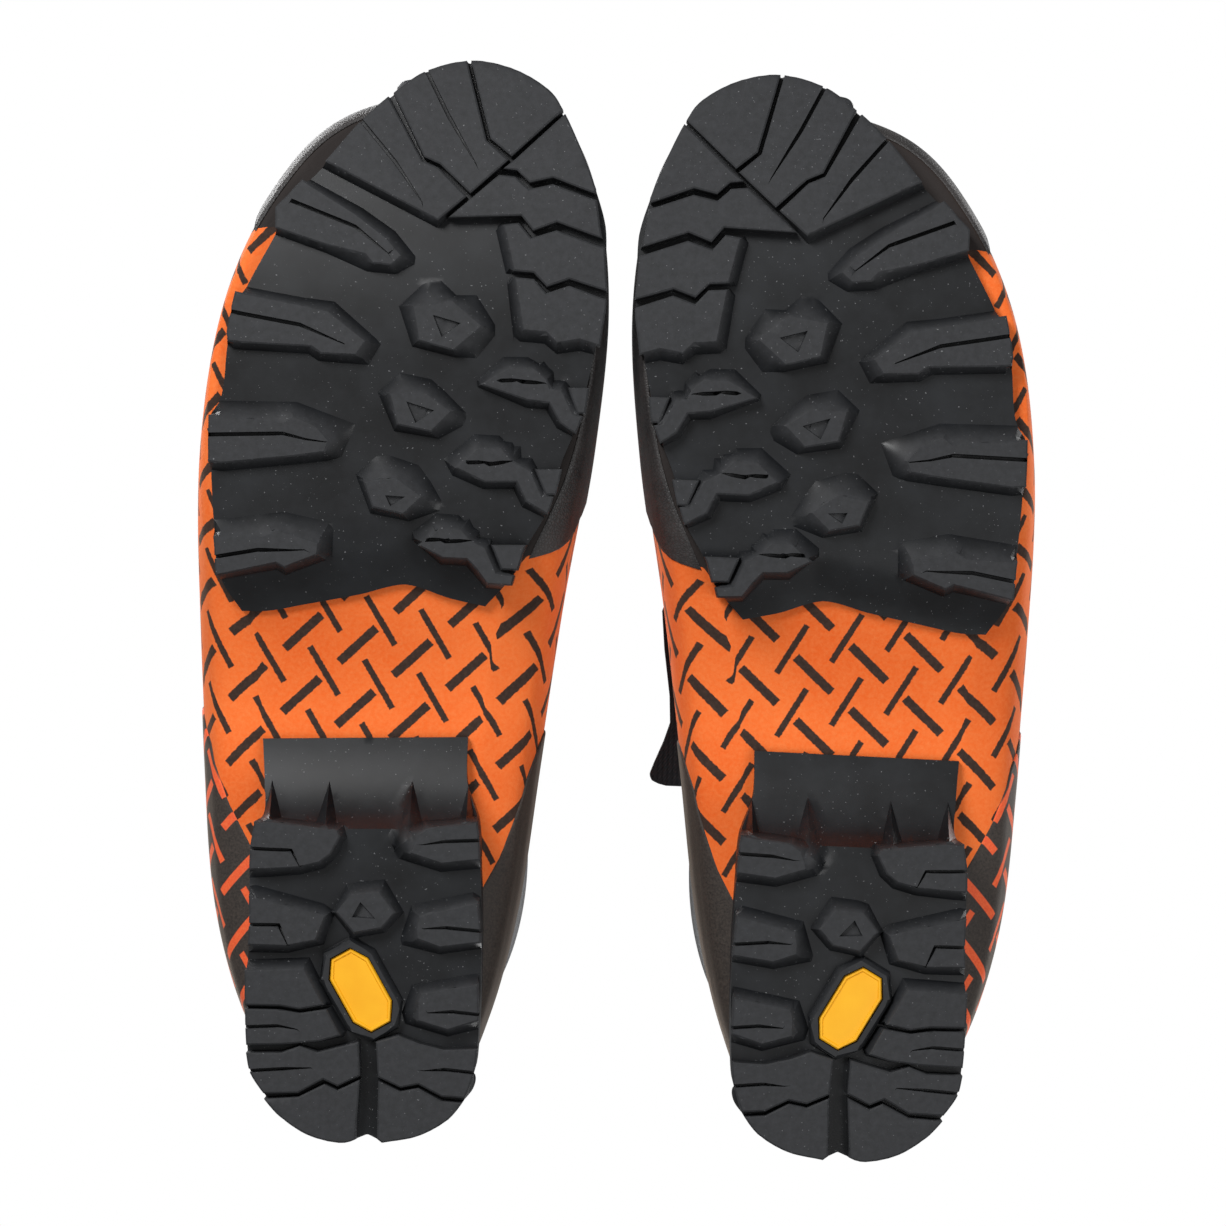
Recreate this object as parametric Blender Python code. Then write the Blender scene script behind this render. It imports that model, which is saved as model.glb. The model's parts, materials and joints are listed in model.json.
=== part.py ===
# A pair of high-altitude double boots, standing on their soles with the toes toward -Y.
# Each boot is drawn in its own millimetres: m runs toward the other boot, f forward from
# the back of the heel, and z up from the ground.  place() turns that into world metres.
import math

import bmesh
import bpy
import numpy as np
from mathutils import Matrix, Vector

for leftover in list(bpy.data.objects):
    bpy.data.objects.remove(leftover)

mm = 0.001

# Driving sizes, in millimetres
soleLength = 302.0
ballWidth = 111.0
collarHeight = 240.0
ankleHeight = 101.0
wrapTop = 66.0  # the printed wrap's upper edge
lugDepth = 4.5
heelLugDepth = 5.0
forefootStack = 8.0  # ground to the underside of the upper
heelStack = 22.0
toeSpring = 16.0
wrapWall = 2.4
vampWall = 1.8
randWall = 1.6
weltReach = 4.5
weltHeight = 5.5
bootieWall = 5.0
midsoleHeight = 6.5
shankHeight = 2.0
footbedHeight = 3.5
bindingHeight = 5.5
strapWall = 1.6
strapWidth = 16.0
strapDrop = 29.0  # from the ankle line to its lower edge beside the ankle
strapRise = 0.09  # and how fast that edge climbs toward the toes
flapDrop = 5.0  # from the ankle line
flapStandOff = 4.0  # of the flap's hinge line, past the bulge of the side
laceRadius = 1.2
laceTurns = 4.25
laceRise = 37.0  # from the ankle line up to the lace's lower end
laceDrop = 14.0  # from the collar down to the lace's upper end
railWall = 1.0
zipTapeWidth = 8.0
zipTapeWall = 1.0
zipRise = 39.0  # from the ankle line up to the zip's lower end
sliderLength = 12.0
sliderWidth = 9.0
sliderWall = 3.0
pullerLength = 22.0
pullerWall = 1.6
loopHeight = 34.0
loopDepth = 10.0
loopWidth = 18.0
webbingWall = 1.8
inlayCentre = (-1.6, 42.8)
inlaySize = (24.0, 13.0)
inlayWall = 2.1
inlayTilt = 119.0  # of its long axis, in degrees from m

# Clearances, in millimetres
gap = 0.4  # between pieces that touch
strapGap = 1.3  # between the strap and the vamp
boardRoom = 0.6  # between the midsole's rim and the wrap
soleGap = 0.6  # between the outsoles and the curved underside of the upper
randGap = 0.9  # between the shell and the rand or counter over it
bootieGap = 0.9  # between the shell and the inner boot
laceRoom = 5.4  # between the gaiter cuff and the inner boot's cuff
ankleGap = 3.0  # between the lower and the cuff beside the pivot
forwardSlope = 0.26  # how fast that gap widens toward the toes, and behind toward the heel
rearwardSlope = 0.20

# Where the two boots stand: side, heel to centre plane, set back, toe-out in degrees, and how
# far the webbing flap is tipped up from level, in degrees
boots = {
    "right": (-1, 68.5, 0.0, 0.0, 80.0),
    "left": (1, 63.0, 5.0, 2.5, -8.0),
}

lengthGrade = soleLength / 302.0  # the tables and outlines below are those of this size
widthGrade = ballWidth / 111.0
plateWall = forefootStack - soleGap - lugDepth  # rubber left above the forefoot grooves
laceLow = ankleHeight + laceRise
zipLow = ankleHeight + zipRise
strapHeight = ankleHeight - strapDrop
flapHeight = ankleHeight - flapDrop
laceHigh = collarHeight - laceDrop
ankleFront = 75.0 * lengthGrade  # the flex axis, forward of the heel

# The foot's outline: half a turn from the heel to the toe down each side
turns = np.radians(np.arange(0, 181, 18))
lateralEdge = -np.array([0, 22, 36, 45, 48, 49.2, 48.7, 41.8, 27, 6.5, -28.0]) * widthGrade
medialEdge = np.array([0, 21.5, 32.5, 41, 47.2, 54.2, 62.5, 66.5, 63, 52, 28.0]) * widthGrade

# How the outline changes going up: height, rear, front, spread of the foot shape, share of
# the oval leg shape, that oval's half width, and its lean away from the other boot
profile = np.array([
    [8, 6, 295, 0.97, 0.0, 46, 0],
    [30, 5, 296, 1.0, 0.0, 47, 0],
    [48, 4, 293, 1.0, 0.05, 47, 0],
    [60, 4, 283, 0.95, 0.15, 46, 0],
    [70, 5, 264, 0.89, 0.3, 44.5, 0],
    [78, 6, 244, 0.84, 0.5, 43, 0],
    [88, 7, 221, 0.8, 0.7, 41, 0],
    [100, 9, 200, 0.78, 0.9, 39.5, 0],
    [112, 10, 184, 0.78, 1.0, 39.5, 0],
    [128, 11, 167, 0.78, 1.0, 40.5, 0],
    [140, 10.1, 163.5, 0.78, 1.0, 41, -1],
    [165, 8.4, 156.1, 0.78, 1.0, 42, -2.5],
    [200, 5.9, 145.8, 0.78, 1.0, 43.2, -4],
    [240, 3, 134, 0.78, 1.0, 44.5, -5],
])
profile[:, 0] = np.interp(profile[:, 0], [0, 60, 101, 240], [0, 60, ankleHeight, collarHeight])
profile[:, 1:3] *= lengthGrade
profile[:, 5:] *= widthGrade

# How far the underside is drawn in from the widest line, along the boot
tuckPlaces = np.array([0, 25, 62, 90, 140, 185, 302.0]) * lengthGrade
tuckDepths = np.array([4, 4, 11, 14, 15, 4, 3.0])

columns = 28
around = np.arange(columns) * math.tau / columns


def stretch(first, last, finer=1):
    # part of the way round, on the same columns as the pieces that go all the way
    return np.linspace(first, last, (last - first) * finer + 1) * math.tau / columns


def glide(x, places, values):
    # a smooth curve through the points, with the slope of the chords beside each one
    x = np.clip(x, places[0], places[-1])
    slopes = np.gradient(values, places)
    k = np.clip(np.searchsorted(places, x, side="right") - 1, 0, len(places) - 2)
    step = places[k + 1] - places[k]
    t = (x - places[k]) / step
    low = (1 + 2 * t) * (1 - t) ** 2 * values[k] + t * (1 - t) ** 2 * step * slopes[k]
    high = t * t * (3 - 2 * t) * values[k + 1] - t * t * (1 - t) * step * slopes[k + 1]
    return low + high


def spring(f):
    return toeSpring * np.clip((f / lengthGrade - 215) / 87, 0, None) ** 2


def floorLine(f):
    # the underside of the upper: level under the ball, up over the arch to the heel
    t = np.clip((176 - f / lengthGrade) / 58, 0, 1)
    return forefootStack + spring(f) + (heelStack - forefootStack) * t * t * (3 - 2 * t)


def outline(turn, z):
    turn = np.mod(turn, math.tau)
    half = np.minimum(turn, math.tau - turn)
    medial = turn > math.pi
    rows = [glide(z, profile[:, 0], column) for column in profile.T[1:]]
    rear, front, spread, leg, legHalf, lean = rows
    foot = np.where(medial, glide(half, turns, medialEdge), glide(half, turns, lateralEdge))
    oval = np.where(medial, 1, -1) * legHalf * np.clip(np.sin(half), 0, 1) ** 0.85
    m = (1 - leg) * spread * foot + leg * (oval + lean)
    return m, rear + (front - rear) * (1 - np.cos(half)) / 2


def section(turn, height, inset=0.0, tuck=0.0):
    # one line round the boot at a height that may depend on f, moved inward by inset
    level = height if callable(height) else lambda f: np.full_like(f, height)
    z = np.full_like(turn, 50.0)
    for _ in range(8):
        m, f = outline(turn, z)
        z = level(f)
    aheadM, aheadF = outline(turn + 0.01, z)
    behindM, behindF = outline(turn - 0.01, z)
    runM, runF = aheadM - behindM, aheadF - behindF
    size = np.hypot(runM, runF)
    move = inset + tuck * glide(f, tuckPlaces, tuckDepths)
    m = m + move * runF / size
    f = f - move * runM / size
    return np.stack([m, f, level(f)], axis=1)


def low(rise):
    return lambda f: floorLine(f) + rise


def cuffLine(f):
    # the cuff's lower edge: a V that leaves room for the ankle to flex both ways
    away = f - ankleFront
    return ankleHeight + ankleGap + np.where(away > 0, forwardSlope * away, -rearwardSlope * away)


def cuffLevel(share):
    # lines evenly shared between the cuff's V-shaped lower edge and its level top
    return lambda f: cuffLine(f) + share * (collarHeight - cuffLine(f))


def loft(rings, looped):
    # skin over lines that all go right round the boot: a solid with both ends closed, or a
    # wall when the last line joins the first
    count, size = len(rings), len(rings[0])
    faces = []
    for r in range(count if looped else count - 1):
        s = (r + 1) % count
        for i in range(size):
            j = (i + 1) % size
            faces.append((r * size + i, r * size + j, s * size + j, s * size + i))
    for r in () if looped else (0, count - 1):
        for k in range(size // 2):
            ladder = (r * size + k, r * size + k + 1, r * size + size - k - 1, r * size + (size - k) % size)
            faces.append(tuple(dict.fromkeys(ladder)))
    return np.concatenate(rings), faces


def patch(rings):
    # skin over lines that go part of the way round: the outer ones up, then the inner ones down
    count, size = len(rings), len(rings[0])
    faces = []
    for r in range(count):
        s = (r + 1) % count
        for i in range(size - 1):
            faces.append((r * size + i, r * size + i + 1, s * size + i + 1, s * size + i))
    for i in (0, size - 1):
        for r in range(count // 2 - 1):
            back = count - 1 - r
            faces.append((r * size + i, (r + 1) * size + i, (back - 1) * size + i, back * size + i))
    return np.concatenate(rings), faces


def wall(turn, heights, outer, inner, tucks=None):
    # lines for a wall between two insets, going up outside and down inside
    tucks = tucks or [0.0] * len(heights)
    up = [section(turn, h, outer, t) for h, t in zip(heights, tucks)]
    down = [section(turn, h, inner, t) for h, t in zip(heights, tucks)]
    return up + down[::-1]


class Boot:
    def __init__(self, name):
        self.name = name
        self.side, self.heelOut, self.setBack, toeOut, self.flapTilt = boots[name]
        self.toeOut = self.side * math.radians(toeOut)
        self.root = self.empty("boot", (0, 0, 0), None)
        self.frames = {"lower": self.root}

    def place(self, points):
        points = np.atleast_2d(np.asarray(points, float))
        x = -self.side * points[:, 0]
        y = -points[:, 1]
        c, s = math.cos(self.toeOut), math.sin(self.toeOut)
        world = [self.side * self.heelOut + c * x - s * y, self.setBack + s * x + c * y, points[:, 2]]
        return np.stack(world, axis=1) * mm

    def empty(self, name, point, parent):
        guide = bpy.data.objects.new(f"{self.name}_{name}_frame", None)
        guide.location = self.place([point])[0]
        bpy.context.collection.objects.link(guide)
        bpy.context.view_layer.update()
        if parent:
            self.hang(guide, parent)
        return guide

    def hang(self, thing, parent):
        thing.parent = parent
        thing.matrix_parent_inverse = parent.matrix_world.inverted()
        bpy.context.view_layer.update()

    def body(self, name, point, parent="lower"):
        # a moving body's empty, on the axis it turns about
        self.frames[name] = self.empty(name, point, self.frames[parent])

    def add(self, name, shape, finish, body="lower"):
        points, faces = shape
        mesh = bpy.data.meshes.new(f"{self.name}_{name}")
        mesh.from_pydata([tuple(p) for p in self.place(points)], [], faces)
        work = bmesh.new()
        work.from_mesh(mesh)
        bmesh.ops.recalc_face_normals(work, faces=work.faces)
        work.to_mesh(mesh)
        work.free()
        mesh.shade_smooth()
        mesh.set_sharp_from_angle(angle=math.radians(35))
        mesh.materials.append(finish)
        thing = bpy.data.objects.new(f"{self.name}_{name}", mesh)
        bpy.context.collection.objects.link(thing)
        self.hang(thing, self.frames[body])
        return thing


def surface(name, red, green, blue, roughness, metallic=0.0):
    material = bpy.data.materials.new(name)
    material.use_nodes = True
    shader = material.node_tree.nodes["Principled BSDF"]
    shader.inputs["Base Color"].default_value = (red, green, blue, 1)
    shader.inputs["Roughness"].default_value = roughness
    shader.inputs["Metallic"].default_value = metallic
    material.diffuse_color = (red, green, blue, 1)
    return material


rubber = surface("outsole_rubber", 0.030, 0.032, 0.036, 0.6)
randRubber = surface("rand_rubber", 0.018, 0.018, 0.020, 0.65)
inlayYellow = surface("inlay_yellow", 0.90, 0.62, 0.02, 0.45)
orange = surface("wrap_orange", 0.80, 0.20, 0.03, 0.7)
darkFabric = surface("dark_fabric", 0.030, 0.026, 0.025, 0.85)
foam = surface("midsole_foam", 0.35, 0.35, 0.36, 0.8)
carbon = surface("shank_carbon", 0.03, 0.03, 0.035, 0.35)
hardPlastic = surface("welt_plastic", 0.04, 0.04, 0.045, 0.4)
gaiterFabric = surface("gaiter_fabric", 0.055, 0.055, 0.06, 0.8)
liner = surface("liner_fabric", 0.12, 0.12, 0.13, 0.9)
webbing = surface("strap_webbing", 0.045, 0.045, 0.05, 0.75)
cord = surface("lace_cord", 0.75, 0.22, 0.04, 0.7)
metal = surface("slider_metal", 0.45, 0.45, 0.46, 0.35, 1.0)


# Outsole: the outlines of the two rubber units and of their lugs, as (m, f)
forefootOutline = [
    (28, 302), (42, 299.5), (52, 293), (60, 277), (67, 258), (67.5, 236), (65, 224), (58, 197),
    (50.5, 175), (41.5, 158), (33, 149), (23, 151.5), (10.5, 155.5), (-2, 152.5), (-17, 150),
    (-36, 148), (-41.5, 157), (-44, 190), (-43, 207), (-39, 225), (-34, 239), (-25, 255),
    (-11, 274), (6.5, 292.5), (16, 299),
]
heelOutline = [
    (-30.5, 113), (28, 113), (31.5, 90), (32.5, 56), (31, 26), (27.5, 12), (22, 6), (14, 1.8),
    (4, 0), (-6, 0), (-15.5, 1.8), (-24, 7), (-29, 13.5), (-33, 20), (-34, 39), (-31.8, 89),
]
toeLugs = [
    [(29, 301), (41.5, 298.5), (51, 292.5), (54.5, 288), (40.5, 275), (34.5, 280)],
    [(7.5, 292), (16, 298), (28, 301), (33.5, 279.5), (39.5, 274), (29, 264.5), (16, 274.5)],
    [(-10.5, 274), (-1.5, 284.5), (6, 291.5), (15, 274), (28, 264), (20, 257)],
]
medialLugs = [
    [(55.5, 286), (59.5, 277), (63.5, 265), (52, 269), (45.5, 267.5), (38, 271.5)],
    [
        (37, 270), (45.5, 266), (52, 267.5), (64, 263), (65.5, 252), (53, 256.5), (46.5, 254), (43, 258.5),
        (23, 258),
    ],
    [
        (38, 256), (46, 252.5), (53, 254.5), (66, 249.5), (66.5, 237), (56.5, 240.5), (50.5, 238.5),
        (46.5, 242.5),
    ],
    [(41, 241.5), (50, 237), (56.5, 239), (66.5, 235), (64.5, 222), (53, 223), (44, 226.5)],
    [(32.5, 212), (40, 216.5), (51, 213.5), (61.5, 210.5), (57.5, 197.5), (50.5, 207), (43, 207)],
    [(25, 189.5), (32, 194), (41.5, 190.5), (54.5, 188), (50, 175.5), (42, 184), (36, 184)],
    [(14, 168), (20.5, 171.5), (30, 168), (44.5, 166), (40, 155.5), (34, 155.5), (28.5, 163), (23, 162)],
]
lateralLugs = [
    [(-20, 264), (-14, 268.5), (4, 257), (10, 247.5), (7, 244.5), (-12, 250), (-24, 254.5)],
    [(-33.5, 238.5), (-10.5, 233), (0.5, 224), (-3, 219.5), (-12.5, 220), (-38, 223.5)],
    [(-43, 204), (-20.5, 203.5), (-9.5, 195.5), (-12, 192.5), (-25, 191), (-43, 190)],
    [(-41.5, 169.5), (-25, 171.5), (-12.5, 168), (-13.5, 163.5), (-25, 161), (-40.5, 157)],
]
centreLugs = [
    [(10, 234), (16, 239.5), (23.5, 236.5), (34, 228), (30.5, 220), (13, 223)],
    [(4, 209.5), (10, 214), (18, 212), (26, 203), (25, 199), (8, 199.5)],
    [(-2.5, 186), (3, 191), (12.5, 188.5), (19.5, 179), (16, 175.5), (1.5, 177)],
]
heelLugs = [
    [(-30.5, 88), (-14, 87), (-7.5, 84), (-12, 78.5), (-31, 76.5)],
    [(13, 86), (30, 88), (31, 80), (21.5, 78), (13.5, 81.5)],
    [(-31.5, 70), (-10.5, 63.5), (-14, 56.5), (-32, 55)],
    [(14, 63), (31, 68), (31.5, 56), (20.5, 54.5), (14, 57)],
    [(-32.5, 48.5), (-17, 48.5), (-8.5, 30), (-14.5, 28), (-32.5, 26)],
    [(13.5, 41.5), (30.5, 45), (30.5, 33.5), (21.5, 31.5), (14, 34)],
    [(-32, 25), (-18.5, 27.5), (-2, 28.5), (-1.5, 19), (-19, 14), (-28, 14), (-31.5, 20)],
    [(-27.5, 12.5), (-19, 12.8), (-1.5, 17.5), (-3, 1.5), (-15.5, 3), (-23.5, 8)],
    [(2.5, 28.5), (14.5, 28), (30.5, 26.5), (29.5, 20.5), (26.5, 12.5), (14.5, 16.5), (3.5, 18.5)],
    [(3.5, 17.5), (14.5, 15.5), (25.5, 11), (22, 7), (14, 3), (3.5, 1.5)],
    [(-8.5, 64.5), (-4, 70), (4, 70.5), (8.5, 64.5), (4, 59.5), (-3.5, 58.5)],
]


def graded(points):
    return [(m * widthGrade, f * lengthGrade) for m, f in points]


def inward(points, distance):
    # the same outline drawn in by a distance, corner by corner
    corners = [Vector(p) for p in points]
    area = sum(a.x * b.y - b.x * a.y for a, b in zip(corners, corners[1:] + corners[:1]))
    hand = 1 if area > 0 else -1
    moved = []
    for k, here in enumerate(corners):
        before = (here - corners[k - 1]).normalized()
        after = (corners[(k + 1) % len(corners)] - here).normalized()
        middle = (before + after).normalized()
        reach = distance / max(0.5, middle.dot(after))
        moved.append((here.x - hand * middle.y * reach, here.y + hand * middle.x * reach))
    return moved


def prism(points, lowLine, highLine, cuts=()):
    # an upright block on an outline, cut across so that it can follow curved lines in f
    work = bmesh.new()
    base = work.faces.new([work.verts.new((m, f, 0)) for m, f in points])
    top = bmesh.ops.extrude_face_region(work, geom=[base])
    raised = [v for v in top["geom"] if isinstance(v, bmesh.types.BMVert)]
    bmesh.ops.translate(work, vec=(0, 0, 1), verts=raised)
    for cut in cuts:
        everything = work.verts[:] + work.edges[:] + work.faces[:]
        bmesh.ops.bisect_plane(work, geom=everything, dist=0.01, plane_co=(0, cut, 0), plane_no=(0, 1, 0))
    for v in work.verts:
        line = highLine if v.co.z > 0.5 else lowLine
        v.co.z = float(line(np.float64(v.co.y)))
    bmesh.ops.triangulate(work, faces=work.faces)
    work.verts.index_update()
    shape = np.array([v.co[:] for v in work.verts]), [tuple(v.index for v in f.verts) for f in work.faces]
    work.free()
    return shape


def gathered(shapes):
    points, faces = [], []
    for more, loops in shapes:
        faces += [tuple(i + len(points) for i in loop) for loop in loops]
        points += [tuple(p) for p in more]
    return np.array(points), faces


def rubberUnit(boot, name, plate, lugs):
    # one moulded unit: the lugs sink a little into the plate and are joined to it
    unit = boot.add(name, plate, rubber)
    cutter = boot.add(name + "_lugs", gathered(lugs), rubber)
    cutter.hide_render = True
    cutter.display_type = "WIRE"
    join = unit.modifiers.new("lugs", "BOOLEAN")
    join.operation = "UNION"
    join.object = cutter


def plateLine(f):
    return floorLine(f) - soleGap - plateWall


def breastLine(f):
    # the heel block's underside: level, then a hollow ramp up to the arch
    t = np.clip((f / lengthGrade - 89) / 24, 0, 1)
    return heelLugDepth + (floorLine(f) - soleGap - 2.0 - heelLugDepth) * t**0.75


def outsoles(boot):
    sink = 1.0
    shy = 0.8  # the plate stops this short of the lugs' outer faces
    across = [f * lengthGrade for f in range(160, 300, 12)]
    plate = prism(inward(graded(forefootOutline), shy), plateLine, lambda f: floorLine(f) - soleGap, across)
    lugs = [
        prism(graded(points), spring, lambda f: plateLine(f) + sink)
        for points in toeLugs + medialLugs + lateralLugs + centreLugs
    ]
    rubberUnit(boot, "forefoot_outsole", plate, lugs)
    across = [f * lengthGrade for f in (15, 30, 60, 89, 93, 98, 103, 108)]
    plate = prism(inward(graded(heelOutline), shy), breastLine, lambda f: floorLine(f) - soleGap, across)
    lugs = [prism(graded(points), lambda f: 0.0, lambda f: heelLugDepth + sink) for points in heelLugs]
    rubberUnit(boot, "heel_outsole", plate, lugs)


def inlay(boot):
    # a plain capsule let in between the heel lugs
    length, width = inlaySize
    reach = (length - width) / 2
    bend = np.linspace(-math.pi / 2, math.pi / 2, 7)
    x = np.concatenate([reach + width / 2 * np.cos(bend), -reach - width / 2 * np.cos(bend)])
    y = np.concatenate([width / 2 * np.sin(bend), -width / 2 * np.sin(bend)])
    c, s = math.cos(math.radians(inlayTilt)), math.sin(math.radians(inlayTilt))
    m = inlayCentre[0] * widthGrade + c * x - s * y
    f = inlayCentre[1] * lengthGrade + s * x + c * y
    top = heelLugDepth - gap
    rim = list(zip(m, f))
    boot.add("heel_inlay", prism(rim, lambda f: top - inlayWall, lambda f: top), inlayYellow)


lowRises = [0.0, 3.0, 9.0, 18.0]  # lines up from the underside
lowTucks = [1.0, 0.45, 0.12, 0.0]  # and how much of the tuck each keeps
wrapHeights = [wrapTop - 18, wrapTop - 9, wrapTop]  # lines up the sides of the shell
shellHeights = [wrapTop + share * (ankleHeight - wrapTop) for share in (0.17, 0.37, 0.66)]


def board(boot, name, bottom, top, inset, tuck, finish):
    rings = [section(around, low(rise), inset, tuck) for rise in (bottom, top)]
    boot.add(name, loft(rings, False), finish)


def lowerShell(boot):
    inside = [wrapWall, wrapWall + 2.6, 10.5, 18.0]
    outer = [section(around, low(r), 0, t) for r, t in zip(lowRises, lowTucks)]
    outer += [section(around, h) for h in wrapHeights]
    inner = [section(around, low(r), wrapWall, t) for r, t in zip(inside, lowTucks)]
    inner += [section(around, h, wrapWall) for h in wrapHeights]
    boot.add("lower_wrap", loft(outer + inner[::-1], False), orange)
    lines = [wrapTop + gap] + shellHeights + [ankleHeight]
    boot.add("vamp", loft(wall(around, lines, 0, vampWall), True), darkFabric)
    bottom = wrapWall + gap
    board(boot, "midsole", bottom, bottom + midsoleHeight, wrapWall + boardRoom, 1.0, foam)
    bottom += midsoleHeight + gap
    board(boot, "shank_board", bottom, bottom + shankHeight, wrapWall + 1.0, 1.0, carbon)
    return bottom + shankHeight


def rands(boot):
    # a rubber rand round the toe and along the ball, and a stiff fabric counter round the heel
    turn = stretch(11, 20)
    lines = [low(rise) for rise in [gap] + lowRises[1:]] + wrapHeights[:1]
    tucks = [0.9] + lowTucks[1:] + [0.0]
    shape = patch(wall(turn, lines, -randGap - randWall, -randGap, tucks))
    boot.add("toe_rand", shape, randRubber)
    turn = stretch(-6, 6)
    lines = [low(rise) for rise in lowRises[1:]] + wrapHeights[:-1] + [wrapTop - 2]
    tucks = lowTucks[1:] + [0.0] * 3
    shape = patch(wall(turn, lines, -randGap - randWall, -randGap, tucks))
    boot.add("heel_counter", shape, darkFabric)


def welts(boot):
    # the two ledges that a crampon's bails hold: flat on top, standing out past the upper
    near = randGap + randWall + gap
    for name, first, last in (("toe_welt", 13.3, 14.7), ("heel_welt", -2, 2)):
        turn = np.linspace(first, last, 13) * math.tau / columns
        edge = section(turn, low(9.0), -near)
        rim = section(turn, low(9.0), -near - weltReach)
        base = max(floorLine(edge[:, 1])) + gap
        if name == "toe_welt":
            base = max(floorLine(rim[:, 1])) + gap
        rings = [np.column_stack([line[:, :2], np.full(len(turn), z)]) for line, z in (
            (rim, base), (rim, base + weltHeight), (edge, base + weltHeight), (edge, base))]
        boot.add(name, patch(rings), hardPlastic)


def innerBoot(boot, floor):
    # the insulated inner boot: foot part, cuff, tongue, and the footbed in it
    rises = [floor + gap, floor + gap + 3, floor + gap + 11.5]
    tucks = [0.75, 0.35, 0.03]
    near = wrapWall + bootieGap
    lines = wrapHeights[1:] + shellHeights + [ankleHeight]
    outer = [section(around, low(r), near, t) for r, t in zip(rises, tucks)]
    outer += [section(around, h, near) for h in lines]
    far = near + bootieWall
    inner = [section(around, low(r + 0.8 * bootieWall), far, t) for r, t in zip(rises, tucks)]
    inner += [section(around, h, far) for h in lines]
    boot.add("bootie_lower", loft(outer + inner[::-1], False), liner)
    bottom = rises[0] + 0.8 * bootieWall + gap
    board(boot, "footbed", bottom, bottom + footbedHeight, far + 0.6, 0.8, foam)


def cuff(boot):
    boot.body("cuff", (0, ankleFront, ankleHeight))
    lines = [cuffLevel(share) for share in (0.0, 0.12, 0.3, 0.6, 1.0)]
    boot.add("gaiter_cuff", loft(wall(around, lines, 0, vampWall), True), gaiterFabric, "cuff")
    near = vampWall + laceRoom
    far = near + bootieWall
    tongueHalf = math.radians(17)
    seam = math.radians(1.2)
    turn = np.linspace(math.pi + tongueHalf, 3 * math.pi - tongueHalf, 25)
    boot.add("bootie_cuff", patch(wall(turn, lines, near, far)), liner, "cuff")
    turn = np.linspace(math.pi - tongueHalf + seam, math.pi + tongueHalf - seam, 5)
    boot.add("tongue", patch(wall(turn, lines, near, far)), liner, "cuff")
    rings = [
        section(around, collarHeight + gap, -0.6),
        section(around, collarHeight + 0.7 * bindingHeight, -0.9),
        section(around, collarHeight + bindingHeight, 1.5),
        section(around, collarHeight + bindingHeight, far - 1.5),
        section(around, collarHeight + 0.7 * bindingHeight, far + 0.9),
        section(around, collarHeight + gap, far + 0.6),
    ]
    boot.add("collar_binding", loft(rings, True), gaiterFabric, "cuff")


def bellows(boot):
    # the thin fabric between the lower and the cuff, which folds as the ankle flexes
    lines = [ankleHeight + gap, lambda f: cuffLine(f) - gap]
    boot.add("ankle_bellows", loft(wall(around, lines, 0.2, vampWall - 0.2), True), gaiterFabric)


def lacing(boot):
    # one lace, side to side over the tongue between two rails, up to a cord lock
    near = vampWall + laceRoom
    eyelet = math.radians(20)
    across = math.radians(14)
    for name, side in (("lace_rail_lateral", -1), ("lace_rail_medial", 1)):
        turn = math.pi + side * np.linspace(eyelet, eyelet + math.radians(7), 3)
        lines = [laceLow - 6, laceHigh - 4]
        shape = patch(wall(turn, lines, near - gap - railWall, near - gap))
        boot.add(name, shape, webbing, "cuff")
    t = np.linspace(0, 1, 46)
    swing = np.arcsin(0.97 * np.cos(math.tau * laceTurns * t)) / (math.pi / 2)
    height = laceLow + (laceHigh - laceLow) * t
    reach = near - gap - railWall - gap - laceRadius
    route = section(math.pi + across * swing, lambda f: height, reach)
    curve = bpy.data.curves.new(f"{boot.name}_lace", "CURVE")
    curve.dimensions = "3D"
    curve.bevel_depth = laceRadius * mm
    curve.bevel_resolution = 2
    curve.use_fill_caps = True
    line = curve.splines.new("POLY")
    line.points.add(len(route) - 1)
    for point, place in zip(line.points, boot.place(route)):
        point.co = (*place, 1)
    curve.materials.append(cord)
    lace = bpy.data.objects.new(f"{boot.name}_lace", curve)
    bpy.context.collection.objects.link(lace)
    boot.hang(lace, boot.frames["cuff"])
    lockLow = laceHigh + laceRadius + gap
    shape = frontBlock(-6.0, 6.0, lockLow, lockLow + 8, -reach - 1.4, -reach + 1.4)
    boot.add("lace_lock", shape, hardPlastic, "cuff")


def frontLine(z):
    # the straight front of the cuff, where the zip runs
    m, f = outline(np.array([math.pi]), np.array([float(z)]))
    return np.array([float(m[0]), float(f[0]), float(z)])


def frontBlock(left, right, bottom, top, near, far):
    # a block on the cuff's front line, between two distances in front of it
    points = []
    for z in (bottom, top):
        for m in (left, right):
            for ahead in (near, far):
                points.append(frontLine(z) + (m, ahead, 0))
    faces = [(0, 1, 3, 2), (4, 6, 7, 5), (0, 4, 5, 1), (2, 3, 7, 6), (0, 2, 6, 4), (1, 5, 7, 3)]
    return np.array(points), faces


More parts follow.
